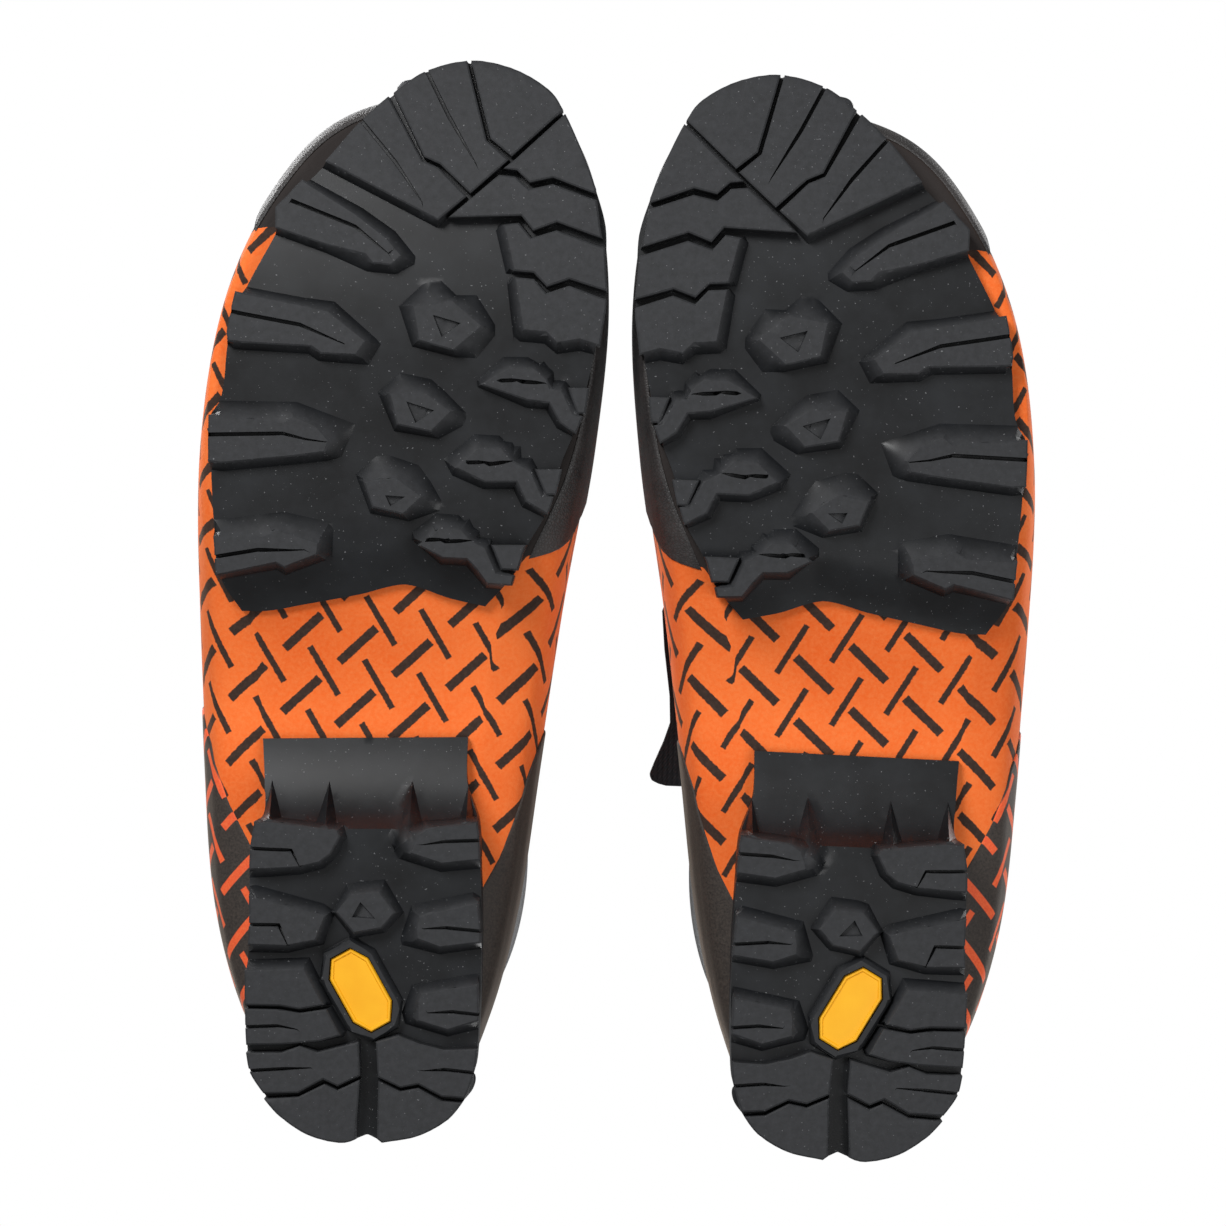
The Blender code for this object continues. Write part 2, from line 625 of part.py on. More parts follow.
def zipper(boot):
    top = collarHeight - 4
    seam = gap / 2
    for name, left, right in (
        ("zip_tape_lateral", -zipTapeWidth, -seam),
        ("zip_tape_medial", seam, zipTapeWidth),
    ):
        shape = frontBlock(left, right, zipLow, top, gap, gap + zipTapeWall)
        boot.add(name, shape, webbing, "cuff")
    near = 2 * gap + zipTapeWall
    sliderTop = top - 4
    sliderLow = sliderTop - sliderLength
    boot.body("zip_slider", frontLine(sliderLow) + (0, near, 0), "cuff")
    half = sliderWidth / 2
    shape = frontBlock(-half, half, sliderLow, sliderTop, near, near + sliderWall)
    boot.add("zip_slider", shape, metal, "zip_slider")
    # the puller hangs in front of the slider's face, clear of it all the way up
    pin = sliderLow + 5
    near += sliderWall + gap
    boot.body("zip_puller", frontLine(pin) + (0, near + pullerWall / 2, 0), "zip_slider")
    shape = frontBlock(-2.5, 2.5, pin - pullerLength, pin, near, near + pullerWall)
    boot.add("zip_puller", shape, cord, "zip_puller")


# The flap's outer edge, as (m, f), where it lies level: two lobes with a waist between
flapEdge = [
    (44, 157.5), (52.5, 156), (54.8, 151.5), (53.6, 140), (51.2, 125), (50.8, 118),
    (53.8, 110), (56.4, 103.5), (56, 100.5), (54, 99),
]


def strapLine(f):
    return strapHeight + strapRise * (f / lengthGrade - 90)


def instepStrap(boot):
    # a webbing strap over the instep
    turn = np.radians(np.linspace(84, 268, 19))
    lines = [lambda f, up=up: strapLine(f) + up * strapWidth for up in (0, 0.25, 0.5, 0.75, 1)]
    shape = patch(wall(turn, lines, -strapGap - strapWall, -strapGap))
    boot.add("instep_strap", shape, webbing)


def sideFlap(boot):
    # a webbing flap on the inner side, hinged along its inner edge
    edge = graded(flapEdge)
    turn = np.radians(np.linspace(200, 340, 141))
    side = section(turn, flapHeight, -flapStandOff)[::-1]
    ends = [np.array([np.interp(f, side[:, 1], side[:, 0]), f]) for f in (edge[-1][1], edge[0][1])]
    boot.body("strap_tab", (*ends[0], flapHeight))
    boot.body("strap_tab_end", (*ends[1], flapHeight), "strap_tab")
    shape = prism(
        edge + [tuple(end) for end in ends],
        lambda f: flapHeight - webbingWall / 2,
        lambda f: flapHeight + webbingWall / 2,
    )
    origin = Vector((*ends[0], flapHeight))
    axis = Vector((*(ends[1] - ends[0]), 0)).normalized()
    turned = Matrix.Rotation(math.radians(-boot.flapTilt), 3, axis)
    points = [(turned @ (Vector(p) - origin) + origin)[:] for p in shape[0]]
    boot.add("strap_tab", (np.array(points), shape[1]), webbing, "strap_tab")


def pullLoop(boot):
    middle = collarHeight - 8 - loopHeight / 2
    rear = float(outline(np.array([0.0]), np.array([middle - loopHeight / 2]))[1][0])
    rear = min(rear, float(outline(np.array([0.0]), np.array([middle + loopHeight / 2]))[1][0]))
    centre = rear - gap - loopDepth / 2
    pin = middle + (loopHeight - webbingWall) / 2
    boot.body("pull_loop", (0, rear - gap - webbingWall / 2, pin), "cuff")
    turn = np.arange(16) * math.tau / 16
    corner = 0.55
    rings = []
    for m, thin in ((-1, 0), (1, 0), (1, webbingWall), (-1, webbingWall)):
        a, b = loopDepth / 2 - thin, loopHeight / 2 - thin
        f = centre + a * np.sign(np.cos(turn)) * np.abs(np.cos(turn)) ** corner
        z = middle + b * np.sign(np.sin(turn)) * np.abs(np.sin(turn)) ** corner
        rings.append(np.column_stack([np.full(16, m * loopWidth / 2), f, z]))
    boot.add("pull_loop", loft(rings, True), webbing, "pull_loop")


for name in boots:
    boot = Boot(name)
    outsoles(boot)
    inlay(boot)
    innerFloor = lowerShell(boot)
    rands(boot)
    welts(boot)
    innerBoot(boot, innerFloor)
    cuff(boot)
    bellows(boot)
    lacing(boot)
    zipper(boot)
    instepStrap(boot)
    sideFlap(boot)
    pullLoop(boot)

# Stand the pair with the middle of its box over the origin
bpy.context.view_layer.update()
graph = bpy.context.evaluated_depsgraph_get()
corners = []
for thing in bpy.data.objects:
    if thing.type != "EMPTY" and not thing.hide_render:
        whole = thing.evaluated_get(graph)
        corners += [whole.matrix_world @ Vector(c) for c in whole.bound_box]
corners = np.array([c[:] for c in corners])
shift = -(corners.min(axis=0) + corners.max(axis=0)) / 2
for thing in bpy.data.objects:
    if thing.type == "EMPTY" and thing.parent is None:
        thing.location += Vector((shift[0], shift[1], 0))
bpy.context.view_layer.update()
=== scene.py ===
# Looks for a pair of high-altitude double boots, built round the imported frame.
# Each boot is drawn in its own millimetres: m runs toward the other boot, f forward from
# the back of the heel, z up from the ground.  worldPoints() turns that into metres.
import json
import math

import bmesh
import bpy
import numpy as np
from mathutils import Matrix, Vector
from mathutils.geometry import delaunay_2d_cdt


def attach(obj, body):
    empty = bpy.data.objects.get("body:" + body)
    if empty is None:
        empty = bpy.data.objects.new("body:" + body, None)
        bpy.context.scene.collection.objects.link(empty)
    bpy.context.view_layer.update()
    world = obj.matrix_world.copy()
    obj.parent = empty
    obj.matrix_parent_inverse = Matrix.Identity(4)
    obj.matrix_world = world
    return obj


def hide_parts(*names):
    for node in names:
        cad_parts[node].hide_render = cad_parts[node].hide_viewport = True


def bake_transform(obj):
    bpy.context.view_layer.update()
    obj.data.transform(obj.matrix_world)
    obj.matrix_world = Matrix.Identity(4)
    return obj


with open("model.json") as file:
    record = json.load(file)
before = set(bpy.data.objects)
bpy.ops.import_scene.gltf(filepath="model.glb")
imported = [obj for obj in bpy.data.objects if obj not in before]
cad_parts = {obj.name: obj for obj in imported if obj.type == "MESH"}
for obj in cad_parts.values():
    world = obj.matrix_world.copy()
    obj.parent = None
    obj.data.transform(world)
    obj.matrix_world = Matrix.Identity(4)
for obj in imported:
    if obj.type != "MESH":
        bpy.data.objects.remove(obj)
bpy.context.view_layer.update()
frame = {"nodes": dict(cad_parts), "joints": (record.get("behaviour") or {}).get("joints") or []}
print("frame loaded")

mm = 0.001
ankle = {"f": 75.0, "z": 101.0}  # the cuff's hinge line in a boot's own millimetres


# ---- where each boot stands, read from its cuff hinge ----
def standing(name, side):
    joint = next(j for j in frame["joints"] if j["name"] == f"{name}_cuff_flex")
    axis = np.array(joint["axis"], float)
    return {
        "name": name,
        "side": side,
        "at": np.array(joint["pos_m"], float),
        "toOther": -side * axis,
        "ahead": np.cross(axis, [0, 0, 1]),
        "cuff": f"{name}_cuff",
    }


pair = [standing("right", -1), standing("left", 1)]


def namedFor(boot, name):
    return f"{boot['name']}_{name}"


def worldPoints(boot, points):
    # hinge point + m along the hinge + (f - hinge f) ahead + (z - hinge z) up
    points = np.asarray(points, float)
    moved = points[:, :1] * boot["toOther"] + (points[:, 1:2] - ankle["f"]) * boot["ahead"]
    moved[:, 2] += points[:, 2] - ankle["z"]
    return boot["at"] + moved * mm


# ---- materials ----
def linear(code):
    # sRGB hex to linear light
    share = np.array([int(code[k : k + 2], 16) for k in (0, 2, 4)]) / 255
    share = np.where(share <= 0.04045, share / 12.92, ((share + 0.055) / 1.055) ** 2.4)
    return (*[float(x) for x in share], 1.0)


def node(tree, kind, settings=None, links=None):
    made = tree.nodes.new("ShaderNode" + kind)
    for key, value in (settings or {}).items():
        if isinstance(key, int) or key in made.inputs:
            made.inputs[key].default_value = value
        else:
            setattr(made, key, value)
    for key, source in (links or {}).items():
        tree.links.new(source, made.inputs[key])
    return made


def newMaterial(name, **shaderValues):
    material = bpy.data.materials.new(name)
    material.use_nodes = True
    tree = material.node_tree
    shader = tree.nodes["Principled BSDF"]
    for key, value in shaderValues.items():
        shader.inputs[key.replace("_", " ")].default_value = value
    return material, tree, shader


def value(tree, kind, a, b=None, c=None):
    # one Math node: numbers go on its sockets, sockets are linked
    settings, links = {"operation": kind}, {}
    for k, part in enumerate((a, b, c)):
        if part is None:
            continue
        if isinstance(part, (int, float)):
            settings[k] = float(part)
        else:
            links[k] = part
    return node(tree, "Math", settings, links).outputs[0]


def times(tree, a, b):
    return value(tree, "MULTIPLY", a, b)


def timesPlus(tree, a, b, c):
    # a times b, plus c
    return value(tree, "MULTIPLY_ADD", a, b, c)


def feed(tree, shader, socket, source):
    tree.links.new(source, shader.inputs[socket])


def objectPlace(tree):
    return node(tree, "TexCoord").outputs["Object"]


def clothPlane(tree):
    # the piece's own cloth coordinates, in mm
    return node(tree, "Attribute", {"attribute_name": "plane"}).outputs["Vector"]


def strokesOf(tree, plane):
    # the wrap's print: a lattice of thin strokes crossed by thick ones
    masks = [dashMask(tree, plane, *printing[kind]) for kind in ("thin", "thick")]
    return value(tree, "MAXIMUM", *masks)


def blendOf(tree, share, first, second):
    # colour mix, either side a hex code or a socket
    settings, links = {"data_type": "RGBA"}, {0: share}
    for k, part in ((6, first), (7, second)):
        if isinstance(part, str):
            settings[k] = linear(part)
        else:
            links[k] = part
    return node(tree, "Mix", settings, links).outputs[2]


def steps(tree, source, stops):
    # a ramp of grey values, given as (place, grey)
    ramp = node(tree, "ValToRGB", {}, {0: source})
    marks = ramp.color_ramp.elements
    while len(marks) < len(stops):
        marks.new(0.5)
    for mark, (place, grey) in zip(marks, stops):
        mark.position = place
        mark.color = (grey, grey, grey, 1)
    return ramp.outputs[0]


def noiseAt(tree, place, perMm, detail=2.0, roughness=0.5):
    # noise whose features are about 1 / perMm millimetres across
    return node(
        tree, "TexNoise", {
            "Scale": perMm * 1000.0, "Detail": detail, "Roughness": roughness,
        }, {"Vector": place}
    ).outputs[0]


def bumped(tree, shader, height, depthMm, strength=1.0, before=None):
    links = {"Height": height}
    if before:
        links["Normal"] = before
    made = node(tree, "Bump", {"Strength": strength, "Distance": depthMm * mm}, links)
    tree.links.new(made.outputs[0], shader.inputs["Normal"])
    return made.outputs[0]


def soleRubber():
    # moulded carbon-black rubber: satin in the groove floors, dry and scuffed grey on the treads; the groove
    # floors and walls are coloured darker as painted shade
    material, tree, shader = newMaterial("mouldedSoleRubber", Specular_IOR_Level=0.42)
    place = objectPlace(tree)
    tread = node(tree, "Attribute", {"attribute_name": "tread"}).outputs["Fac"]
    dust = noiseAt(tree, place, 0.06, 4.0, 0.6)
    grain = noiseAt(tree, place, 2.2, 3.0, 0.6)
    scuff = noiseAt(tree, place, 0.5, 5.0, 0.7)
    # groove colour is a darker grey than the treads, painted shade, with dust tone in it; the tread share
    # grades it down the walls
    grooveShade = blendOf(tree, steps(tree, dust, [(0.35, 0.0), (0.7, 1.0)]), "0F1012", "1C1E21")
    treads = blendOf(tree, steps(tree, scuff, [(0.3, 0.0), (0.75, 1.0)]), "232426", "313235")
    colour = blendOf(tree, tread, grooveShade, treads)
    speck = steps(tree, noiseAt(tree, place, 1.3, 2.0, 0.5), [(0.715, 0.0), (0.735, 1.0)])
    colour = blendOf(tree, times(tree, speck, 0.5), colour, "8C8D8F")
    feed(tree, shader, "Base Color", colour)
    rough = timesPlus(tree, tread, 0.3, 0.34)
    feed(tree, shader, "Roughness", timesPlus(tree, dust, 0.12, rough))
    skin = times(tree, grain, timesPlus(tree, tread, 0.7, 0.3))
    bumped(tree, shader, skin, 0.06, 0.5)
    return material


def dashMask(tree, plane, centre, run, length, width):
    # strokes on a slanted lattice: 1 inside a stroke, 0 outside
    across, down = (15.3, -3.8), (-0.9, -18.0)  # lattice steps in mm
    det = across[0] * down[1] - down[0] * across[1]
    split = node(tree, "SeparateXYZ", {}, {0: plane})
    u = value(tree, "SUBTRACT", split.outputs[0], centre[0])
    v = value(tree, "SUBTRACT", split.outputs[1], centre[1])
    cells = []
    for a, b in ((down[1] / det, -down[0] / det), (-across[1] / det, across[0] / det)):
        place = timesPlus(tree, u, a, times(tree, v, b))
        cells.append(value(tree, "SUBTRACT", place, value(tree, "ROUND", place)))
    size = math.hypot(*run)
    tu, tv = run[0] / size, run[1] / size
    along = [across[0] * tu + across[1] * tv, down[0] * tu + down[1] * tv]
    aside = [across[1] * tu - across[0] * tv, down[1] * tu - down[0] * tv]
    masks = []
    for (a, b), half in ((along, length / 2), (aside, width / 2)):
        far = value(tree, "ABSOLUTE", timesPlus(tree, cells[0], a, times(tree, cells[1], b)))
        edge = node(tree, "MapRange", {"From Min": half + 0.12, "From Max": half - 0.12}, {"Value": far})
        masks.append(edge.outputs[0])
    return times(tree, *masks)


printing = {
    "orange": "FB7630",
    "orangeDeep": "EE641F",
    "stroke": "33251F",
    "thin": ((-13.0, 131.7), (7.8, -13.8), 15.9, 1.8),
    "thick": ((-18.7, 142.8), (10.7, 9.6), 14.3, 2.55),
}


def printedWrap():
    # knitted upper fabric with a suede-like face, screen printed in slightly raised ink
    material, tree, shader = newMaterial(
        "printedSuedeFabric", Roughness=0.82, Specular_IOR_Level=0.25, Sheen_Weight=0.15,
    )
    shader.inputs["Sheen Roughness"].default_value = 0.5
    shader.inputs["Sheen Tint"].default_value = linear("FFC9A8")
    place = objectPlace(tree)
    plane = clothPlane(tree)
    wobble = node(tree, "TexNoise", {"Scale": 1.1, "Detail": 2.0}, {"Vector": plane}).outputs["Color"]
    wobble = node(tree, "VectorMath", {"operation": "SUBTRACT", 1: (0.5, 0.5, 0.5)}, {0: wobble}).outputs[0]
    wobble = node(tree, "VectorMath", {"operation": "SCALE", "Scale": 0.55}, {0: wobble}).outputs[0]
    ragged = node(tree, "VectorMath", {"operation": "ADD"}, {0: plane, 1: wobble}).outputs[0]
    strokes = strokesOf(tree, ragged)
    nap = noiseAt(tree, place, 0.9, 4.0, 0.65)
    cloud = noiseAt(tree, place, 0.03, 3.0, 0.5)
    orange = blendOf(
        tree, steps(tree, cloud, [(0.3, 0.0), (0.7, 1.0)]), printing["orange"], printing["orangeDeep"],
    )
    # pale flecks where the nap noise is high: painted highlight on the fibres of the suede face
    orange = blendOf(tree, steps(tree, nap, [(0.35, 0.0), (0.8, 0.3)]), orange, "FFA260")
    ink = blendOf(tree, steps(tree, nap, [(0.4, 0.0), (0.75, 1.0)]), printing["stroke"], "45342C")
    front = blendOf(tree, strokes, orange, ink)
    # where the rand and the heel counter lie over it the cloth is dark too, so their turned-
    # under edges read as one with them
    u, v, _ = node(tree, "SeparateXYZ", {}, {0: plane}).outputs
    rise = node(tree, "SeparateXYZ", {}, {0: place}).outputs[2]
    outerSide = value(tree, "LESS_THAN", u, 12.0)
    toe = value(tree, "GREATER_THAN", v, timesPlus(tree, outerSide, 93.0, 163.5))
    heel = value(tree, "LESS_THAN", v, timesPlus(tree, outerSide, 15.0, 66.0))
    toe = times(tree, toe, value(tree, "LESS_THAN", rise, 0.034))
    heel = times(tree, heel, value(tree, "LESS_THAN", rise, 0.019))
    covered = value(tree, "MAXIMUM", toe, heel)
    front = blendOf(tree, covered, front, "2B2726")
    feed(tree, shader, "Base Color", front)
    fuzz = noiseAt(tree, place, 2.4, 3.0, 0.7)
    height = timesPlus(tree, strokes, 0.5, timesPlus(tree, fuzz, 0.5, nap))
    bumped(tree, shader, height, 0.16, 0.55)
    return material


def yellowInlay():
    # soft injected polyurethane, dyed through: even colour, faint flow marks
    material, tree, shader = newMaterial("mouldedYellowPu", Roughness=0.46, Specular_IOR_Level=0.45)
    place = objectPlace(tree)
    colour = blendOf(tree, noiseAt(tree, place, 0.12, 2.0), "F2A60C", "FFBE1E")
    feed(tree, shader, "Base Color", colour)
    bumped(tree, shader, noiseAt(tree, place, 3.0, 2.0), 0.03, 0.5)
    return material


def wovenHeight(tree, plane, pitchU, pitchV):
    # over-under weave: two sets of threads, each standing proud in turn; plane is in mm
    split = node(tree, "SeparateXYZ", {}, {0: plane})
    u = times(tree, split.outputs[0], math.pi / pitchU)
    v = times(tree, split.outputs[1], math.pi / pitchV)
    warp = times(tree, value(tree, "ABSOLUTE", value(tree, "SINE", u)), value(tree, "COSINE", v))
    weft = times(tree, value(tree, "ABSOLUTE", value(tree, "SINE", v)), value(tree, "COSINE", u))
    return value(tree, "ABSOLUTE", value(tree, "SUBTRACT", warp, weft))


def fabric(name, dark, light, pitch, sheen=0.2, rough=0.8, depthMm=0.12, grid=0.0, gridPitch=6.0):
    # a cloth: threads at their real pitch in bump, and in colour as painted shade where they dip;
    # slow tone changes, optional ripstop grid; sheen gives the pale edge that fine fibres have
    material, tree, shader = newMaterial(name, Roughness=rough, Specular_IOR_Level=0.25, Sheen_Weight=sheen)
    shader.inputs["Sheen Roughness"].default_value = 0.45
    plane = clothPlane(tree)
    place = objectPlace(tree)
    weave = wovenHeight(tree, plane, pitch, pitch)
    cloud = steps(tree, noiseAt(tree, place, 0.035, 4.0, 0.55), [(0.32, 0.0), (0.7, 1.0)])
    lint = steps(tree, noiseAt(tree, place, 1.6, 3.0, 0.6), [(0.6, 0.0), (0.8, 0.5)])
    # threads lighter where they stand proud, darker where they dip: painted shade, over a random tone cloud
    colour = blendOf(tree, timesPlus(tree, weave, 0.55, times(tree, cloud, 0.45)), dark, light)
    height = weave
    if grid:
        split = node(tree, "SeparateXYZ", {}, {0: plane})
        lines = []
        for axis in (0, 1):
            place1 = value(tree, "DIVIDE", split.outputs[axis], gridPitch)
            off = value(tree, "ABSOLUTE", value(tree, "SUBTRACT", place1, value(tree, "ROUND", place1)))
            lines.append(
                node(tree, "MapRange", {"From Min": 0.09, "From Max": 0.045}, {"Value": off}).outputs[0]
            )
        net = value(tree, "MAXIMUM", *lines)
        colour = blendOf(tree, times(tree, net, grid), colour, "4A4C50")
        height = timesPlus(tree, net, 1.2, weave)
    feed(tree, shader, "Base Color", blendOf(tree, lint, colour, "5C5D60"))
    bumped(tree, shader, height, depthMm, 0.6)
    return material


def counterFabric():
    # abrasion-proof heel fabric: dark brown-black knit; toward the outer side the orange
    # strokes of the wrap's print are left bare in it
    material, tree, shader = newMaterial("coatedHeelFabric", Specular_IOR_Level=0.35, Sheen_Weight=0.35)
    shader.inputs["Sheen Roughness"].default_value = 0.4
    shader.inputs["Sheen Tint"].default_value = linear("C8B8A8")
    place = objectPlace(tree)
    plane = clothPlane(tree)
    strokes = strokesOf(tree, plane)
    lateral = value(tree, "LESS_THAN", node(tree, "SeparateXYZ", {}, {0: plane}).outputs[0], 0.0)
    strokes = times(tree, strokes, lateral)
    grain = noiseAt(tree, place, 1.5, 4.0, 0.65)
    dark = blendOf(tree, steps(tree, grain, [(0.3, 0.0), (0.75, 1.0)]), "26211F", "4A423C")
    orange = blendOf(tree, steps(tree, grain, [(0.35, 0.0), (0.8, 1.0)]), "F0562A", "FF7A44")
    feed(tree, shader, "Base Color", blendOf(tree, strokes, dark, orange))
    feed(tree, shader, "Roughness", timesPlus(tree, grain, 0.3, 0.5))
    bumped(tree, shader, value(tree, "SUBTRACT", grain, times(tree, strokes, 0.6)), 0.12, 0.6)
    return material


def randRubber():
    # pebbled rand rubber: fine leather-like grain that catches small highlights; its pebbles are also painted
    # lighter than the creases between them, painted highlight and painted shade
    material, tree, shader = newMaterial("grainedRandRubber", Specular_IOR_Level=0.5)
    place = objectPlace(tree)
    cells = node(
        tree, "TexVoronoi", {"Scale": 1100.0, "feature": "DISTANCE_TO_EDGE"}, {"Vector": place},
    ).outputs[0]
    pebbles = steps(tree, cells, [(0.0, 0.0), (0.22, 1.0)])
    cloud = noiseAt(tree, place, 0.08, 3.0, 0.6)
    colour = blendOf(tree, steps(tree, cloud, [(0.35, 0.0), (0.7, 1.0)]), "1E1C1C", "34302F")
    # pebble faces lighter, creases between them darker: painted highlight and painted shade
    feed(tree, shader, "Base Color", blendOf(tree, times(tree, pebbles, 0.35), colour, "4C4A4A"))
    feed(tree, shader, "Roughness", timesPlus(tree, cloud, 0.25, 0.42))
    bumped(tree, shader, pebbles, 0.12, 0.6)
    return material


def webbingFabric():
    # nylon webbing: ribs across its length, threads slanting within each rib
    material, tree, shader = newMaterial(
        "ribbedNylonWebbing", Roughness=0.62, Specular_IOR_Level=0.35, Sheen_Weight=0.2,
    )
    plane = clothPlane(tree)
    place = objectPlace(tree)
    split = node(tree, "SeparateXYZ", {}, {0: plane})
    slant = timesPlus(tree, split.outputs[1], 2.4, times(tree, split.outputs[0], 3.6))
    thread = value(tree, "ABSOLUTE", value(tree, "SINE", slant))
    rib = value(tree, "ABSOLUTE", value(tree, "SINE", times(tree, split.outputs[0], math.pi / 1.5)))
    height = timesPlus(tree, rib, 1.3, thread)
    worn = noiseAt(tree, place, 0.07, 3.0, 0.6)
    # colour lighter where ribs and threads stand proud, darker in the dips: painted shade, plus random worn
    # patches
    share = timesPlus(tree, height, 0.3, times(tree, worn, 0.35))
    feed(tree, shader, "Base Color", blendOf(tree, share, "17171A", "3B3D42"))
    bumped(tree, shader, height, 0.14, 0.6)
    return material


def mouldedPlastic():
    # hard polyurethane: fine spark-eroded texture, soft highlight, rubbed lighter in patches
    material, tree, shader = newMaterial("sparkTexturedPlastic", Specular_IOR_Level=0.5)
    place = objectPlace(tree)
    rubbed = steps(tree, noiseAt(tree, place, 0.09, 4.0, 0.65), [(0.45, 0.0), (0.75, 1.0)])
    feed(tree, shader, "Base Color", blendOf(tree, rubbed, "17181B", "2F3135"))
    feed(tree, shader, "Roughness", timesPlus(tree, rubbed, 0.2, 0.34))
    bumped(tree, shader, noiseAt(tree, place, 2.6, 3.0, 0.6), 0.05, 0.5)
    return material


def brushedZinc():
    # die-cast zinc slider: long brush marks along its height
    material, tree, shader = newMaterial("brushedZincAlloy", Metallic=1.0)
    place = objectPlace(tree)
    long = node(tree, "Mapping", {"Scale": (1.0, 1.0, 0.08)}, {"Vector": place}).outputs[0]
    marks = noiseAt(tree, long, 4.0, 3.0, 0.6)
    feed(tree, shader, "Base Color", blendOf(tree, marks, "7C7D80", "A9AAAD"))
    feed(tree, shader, "Roughness", timesPlus(tree, marks, 0.25, 0.25))
    bumped(tree, shader, marks, 0.03, 0.5)
    return material


def braidedCord():
    # polyester braid: crossing slants blended between two greys by strand height, lighter on the crowns and
    # darker between strands as painted shade, with an orange tracer
    material, tree, shader = newMaterial("braidedPolyesterCord", Roughness=0.6, Sheen_Weight=0.15)
    plane = clothPlane(tree)
    split = node(tree, "SeparateXYZ", {}, {0: plane})
    a = value(tree, "SINE", timesPlus(tree, split.outputs[1], 2.7, times(tree, split.outputs[0], 2.6)))
    b = value(tree, "SINE", timesPlus(tree, split.outputs[1], 2.7, times(tree, split.outputs[0], -2.6)))
    strand = value(tree, "MAXIMUM", a, b)
    tracer = value(
        tree, "GREATER_THAN", times(tree, a, value(tree, "SINE", times(tree, split.outputs[0], 0.65))),
        0.72,
    )
    # lighter where the strands stand highest, darker between them: painted shade
    grey = blendOf(tree, timesPlus(tree, strand, 0.5, 0.5), "1C1D20", "4A4C51")
    feed(tree, shader, "Base Color", blendOf(tree, tracer, grey, "E8622C"))
    bumped(tree, shader, strand, 0.12, 0.7)
    return material


def closedFoam():
    # compression-moulded foam: closed cells just visible, chalky
    material, tree, shader = newMaterial("closedCellFoam", Roughness=0.9, Specular_IOR_Level=0.2)
    place = objectPlace(tree)
    cells = node(tree, "TexVoronoi", {"Scale": 900.0}, {"Vector": place}).outputs[0]
    feed(tree, shader, "Base Color", blendOf(tree, cells, "6E7075", "3C3E43"))
    bumped(tree, shader, cells, 0.15, 0.5)
    return material


def carbonWeave():
    # 2 mm carbon tows under clear resin
    material, tree, shader = newMaterial(
        "wovenCarbonLaminate", Roughness=0.3, Coat_Weight=0.8, Coat_Roughness=0.1,
    )
    place = objectPlace(tree)
    checks = node(tree, "TexChecker", {"Scale": 500.0}, {"Vector": place}).outputs["Fac"]
    tow = noiseAt(tree, place, 3.0, 2.0, 0.6)
    share = timesPlus(tree, checks, 0.7, times(tree, tow, 0.3))
    feed(tree, shader, "Base Color", blendOf(tree, share, "141517", "303338"))
    bumped(tree, shader, share, 0.05, 0.4)
    return material


finishes = {
    "sole": soleRubber(),
    "print": printedWrap(),
    "yellow": yellowInlay(),
    "rand": randRubber(),
    "counter": counterFabric(),
    "ripstop": fabric("coatedRipstopNylon", "17181B", "2C2E33", 0.5, 0.15, 0.55, 0.08, 0.5, 5.0),
    "softshell": fabric("stretchSoftshellWeave", "1A1B1E", "33353A", 0.7, 0.35, 0.85, 0.12),
    "liner": fabric("brushedKnitLining", "3A3C41", "6A6D73", 0.9, 0.5, 0.95, 0.15),
    "tape": fabric("wovenZipTape", "111214", "2A2B2E", 0.6, 0.1, 0.75, 0.1),
    "webbing": webbingFabric(),
    "plastic": mouldedPlastic(),
    "metal": brushedZinc(),
    "cord": braidedCord(),
    "foam": closedFoam(),
    "carbon": carbonWeave(),
}
print("materials made")


# ---- the last's shape, the same surfaces that the frame's solids follow ----
collarTop = 240.0
last = {
    "turns": np.radians(np.arange(0, 181, 18)),
    "lateral": -np.array([0, 22, 36, 45, 48, 49.2, 48.7, 41.8, 27, 6.5, -28.0]),
    "medial": np.array([0, 21.5, 32.5, 41, 47.2, 54.2, 62.5, 66.5, 63, 52, 28.0]),
    # height, rear, front, spread, share of the leg oval, its half width, its lean
    "profile": np.array([
        [8, 6, 295, 0.97, 0.0, 46, 0],
        [30, 5, 296, 1.0, 0.0, 47, 0],
        [48, 4, 293, 1.0, 0.05, 47, 0],
        [60, 4, 283, 0.95, 0.15, 46, 0],
        [70, 5, 264, 0.89, 0.3, 44.5, 0],
        [78, 6, 244, 0.84, 0.5, 43, 0],
        [88, 7, 221, 0.8, 0.7, 41, 0],
        [100, 9, 200, 0.78, 0.9, 39.5, 0],
        [112, 10, 184, 0.78, 1.0, 39.5, 0],
        [128, 11, 167, 0.78, 1.0, 40.5, 0],
        [140, 10.1, 163.5, 0.78, 1.0, 41, -1],
        [165, 8.4, 156.1, 0.78, 1.0, 42, -2.5],
        [200, 5.9, 145.8, 0.78, 1.0, 43.2, -4],
        [240, 3, 134, 0.78, 1.0, 44.5, -5],
    ]),
    "tuckAt": np.array([0, 25, 62, 90, 140, 185, 302.0]),
    "tuck": np.array([4, 4, 11, 14, 15, 4, 3.0]),
}


def glide(x, places, values):
    # Hermite curve through the points, slopes from the neighbouring chords
    x = np.clip(x, places[0], places[-1])
    slopes = np.gradient(values, places)
    k = np.clip(np.searchsorted(places, x, side="right") - 1, 0, len(places) - 2)
    step = places[k + 1] - places[k]
    t = (x - places[k]) / step
    low = (1 + 2 * t) * (1 - t) ** 2 * values[k] + t * (1 - t) ** 2 * step * slopes[k]
    high = t * t * (3 - 2 * t) * values[k + 1] - t * t * (1 - t) * step * slopes[k + 1]
    return low + high


# the underside's height: under the ball, its rise to the heel over the arch, the toe's rise
under = {
    "ball": 8.0, "heelRise": 14.0, "archEnd": 176, "arch": 58, "toeRise": 16.0, "toeFrom": 215,
    "toe": 87,
}


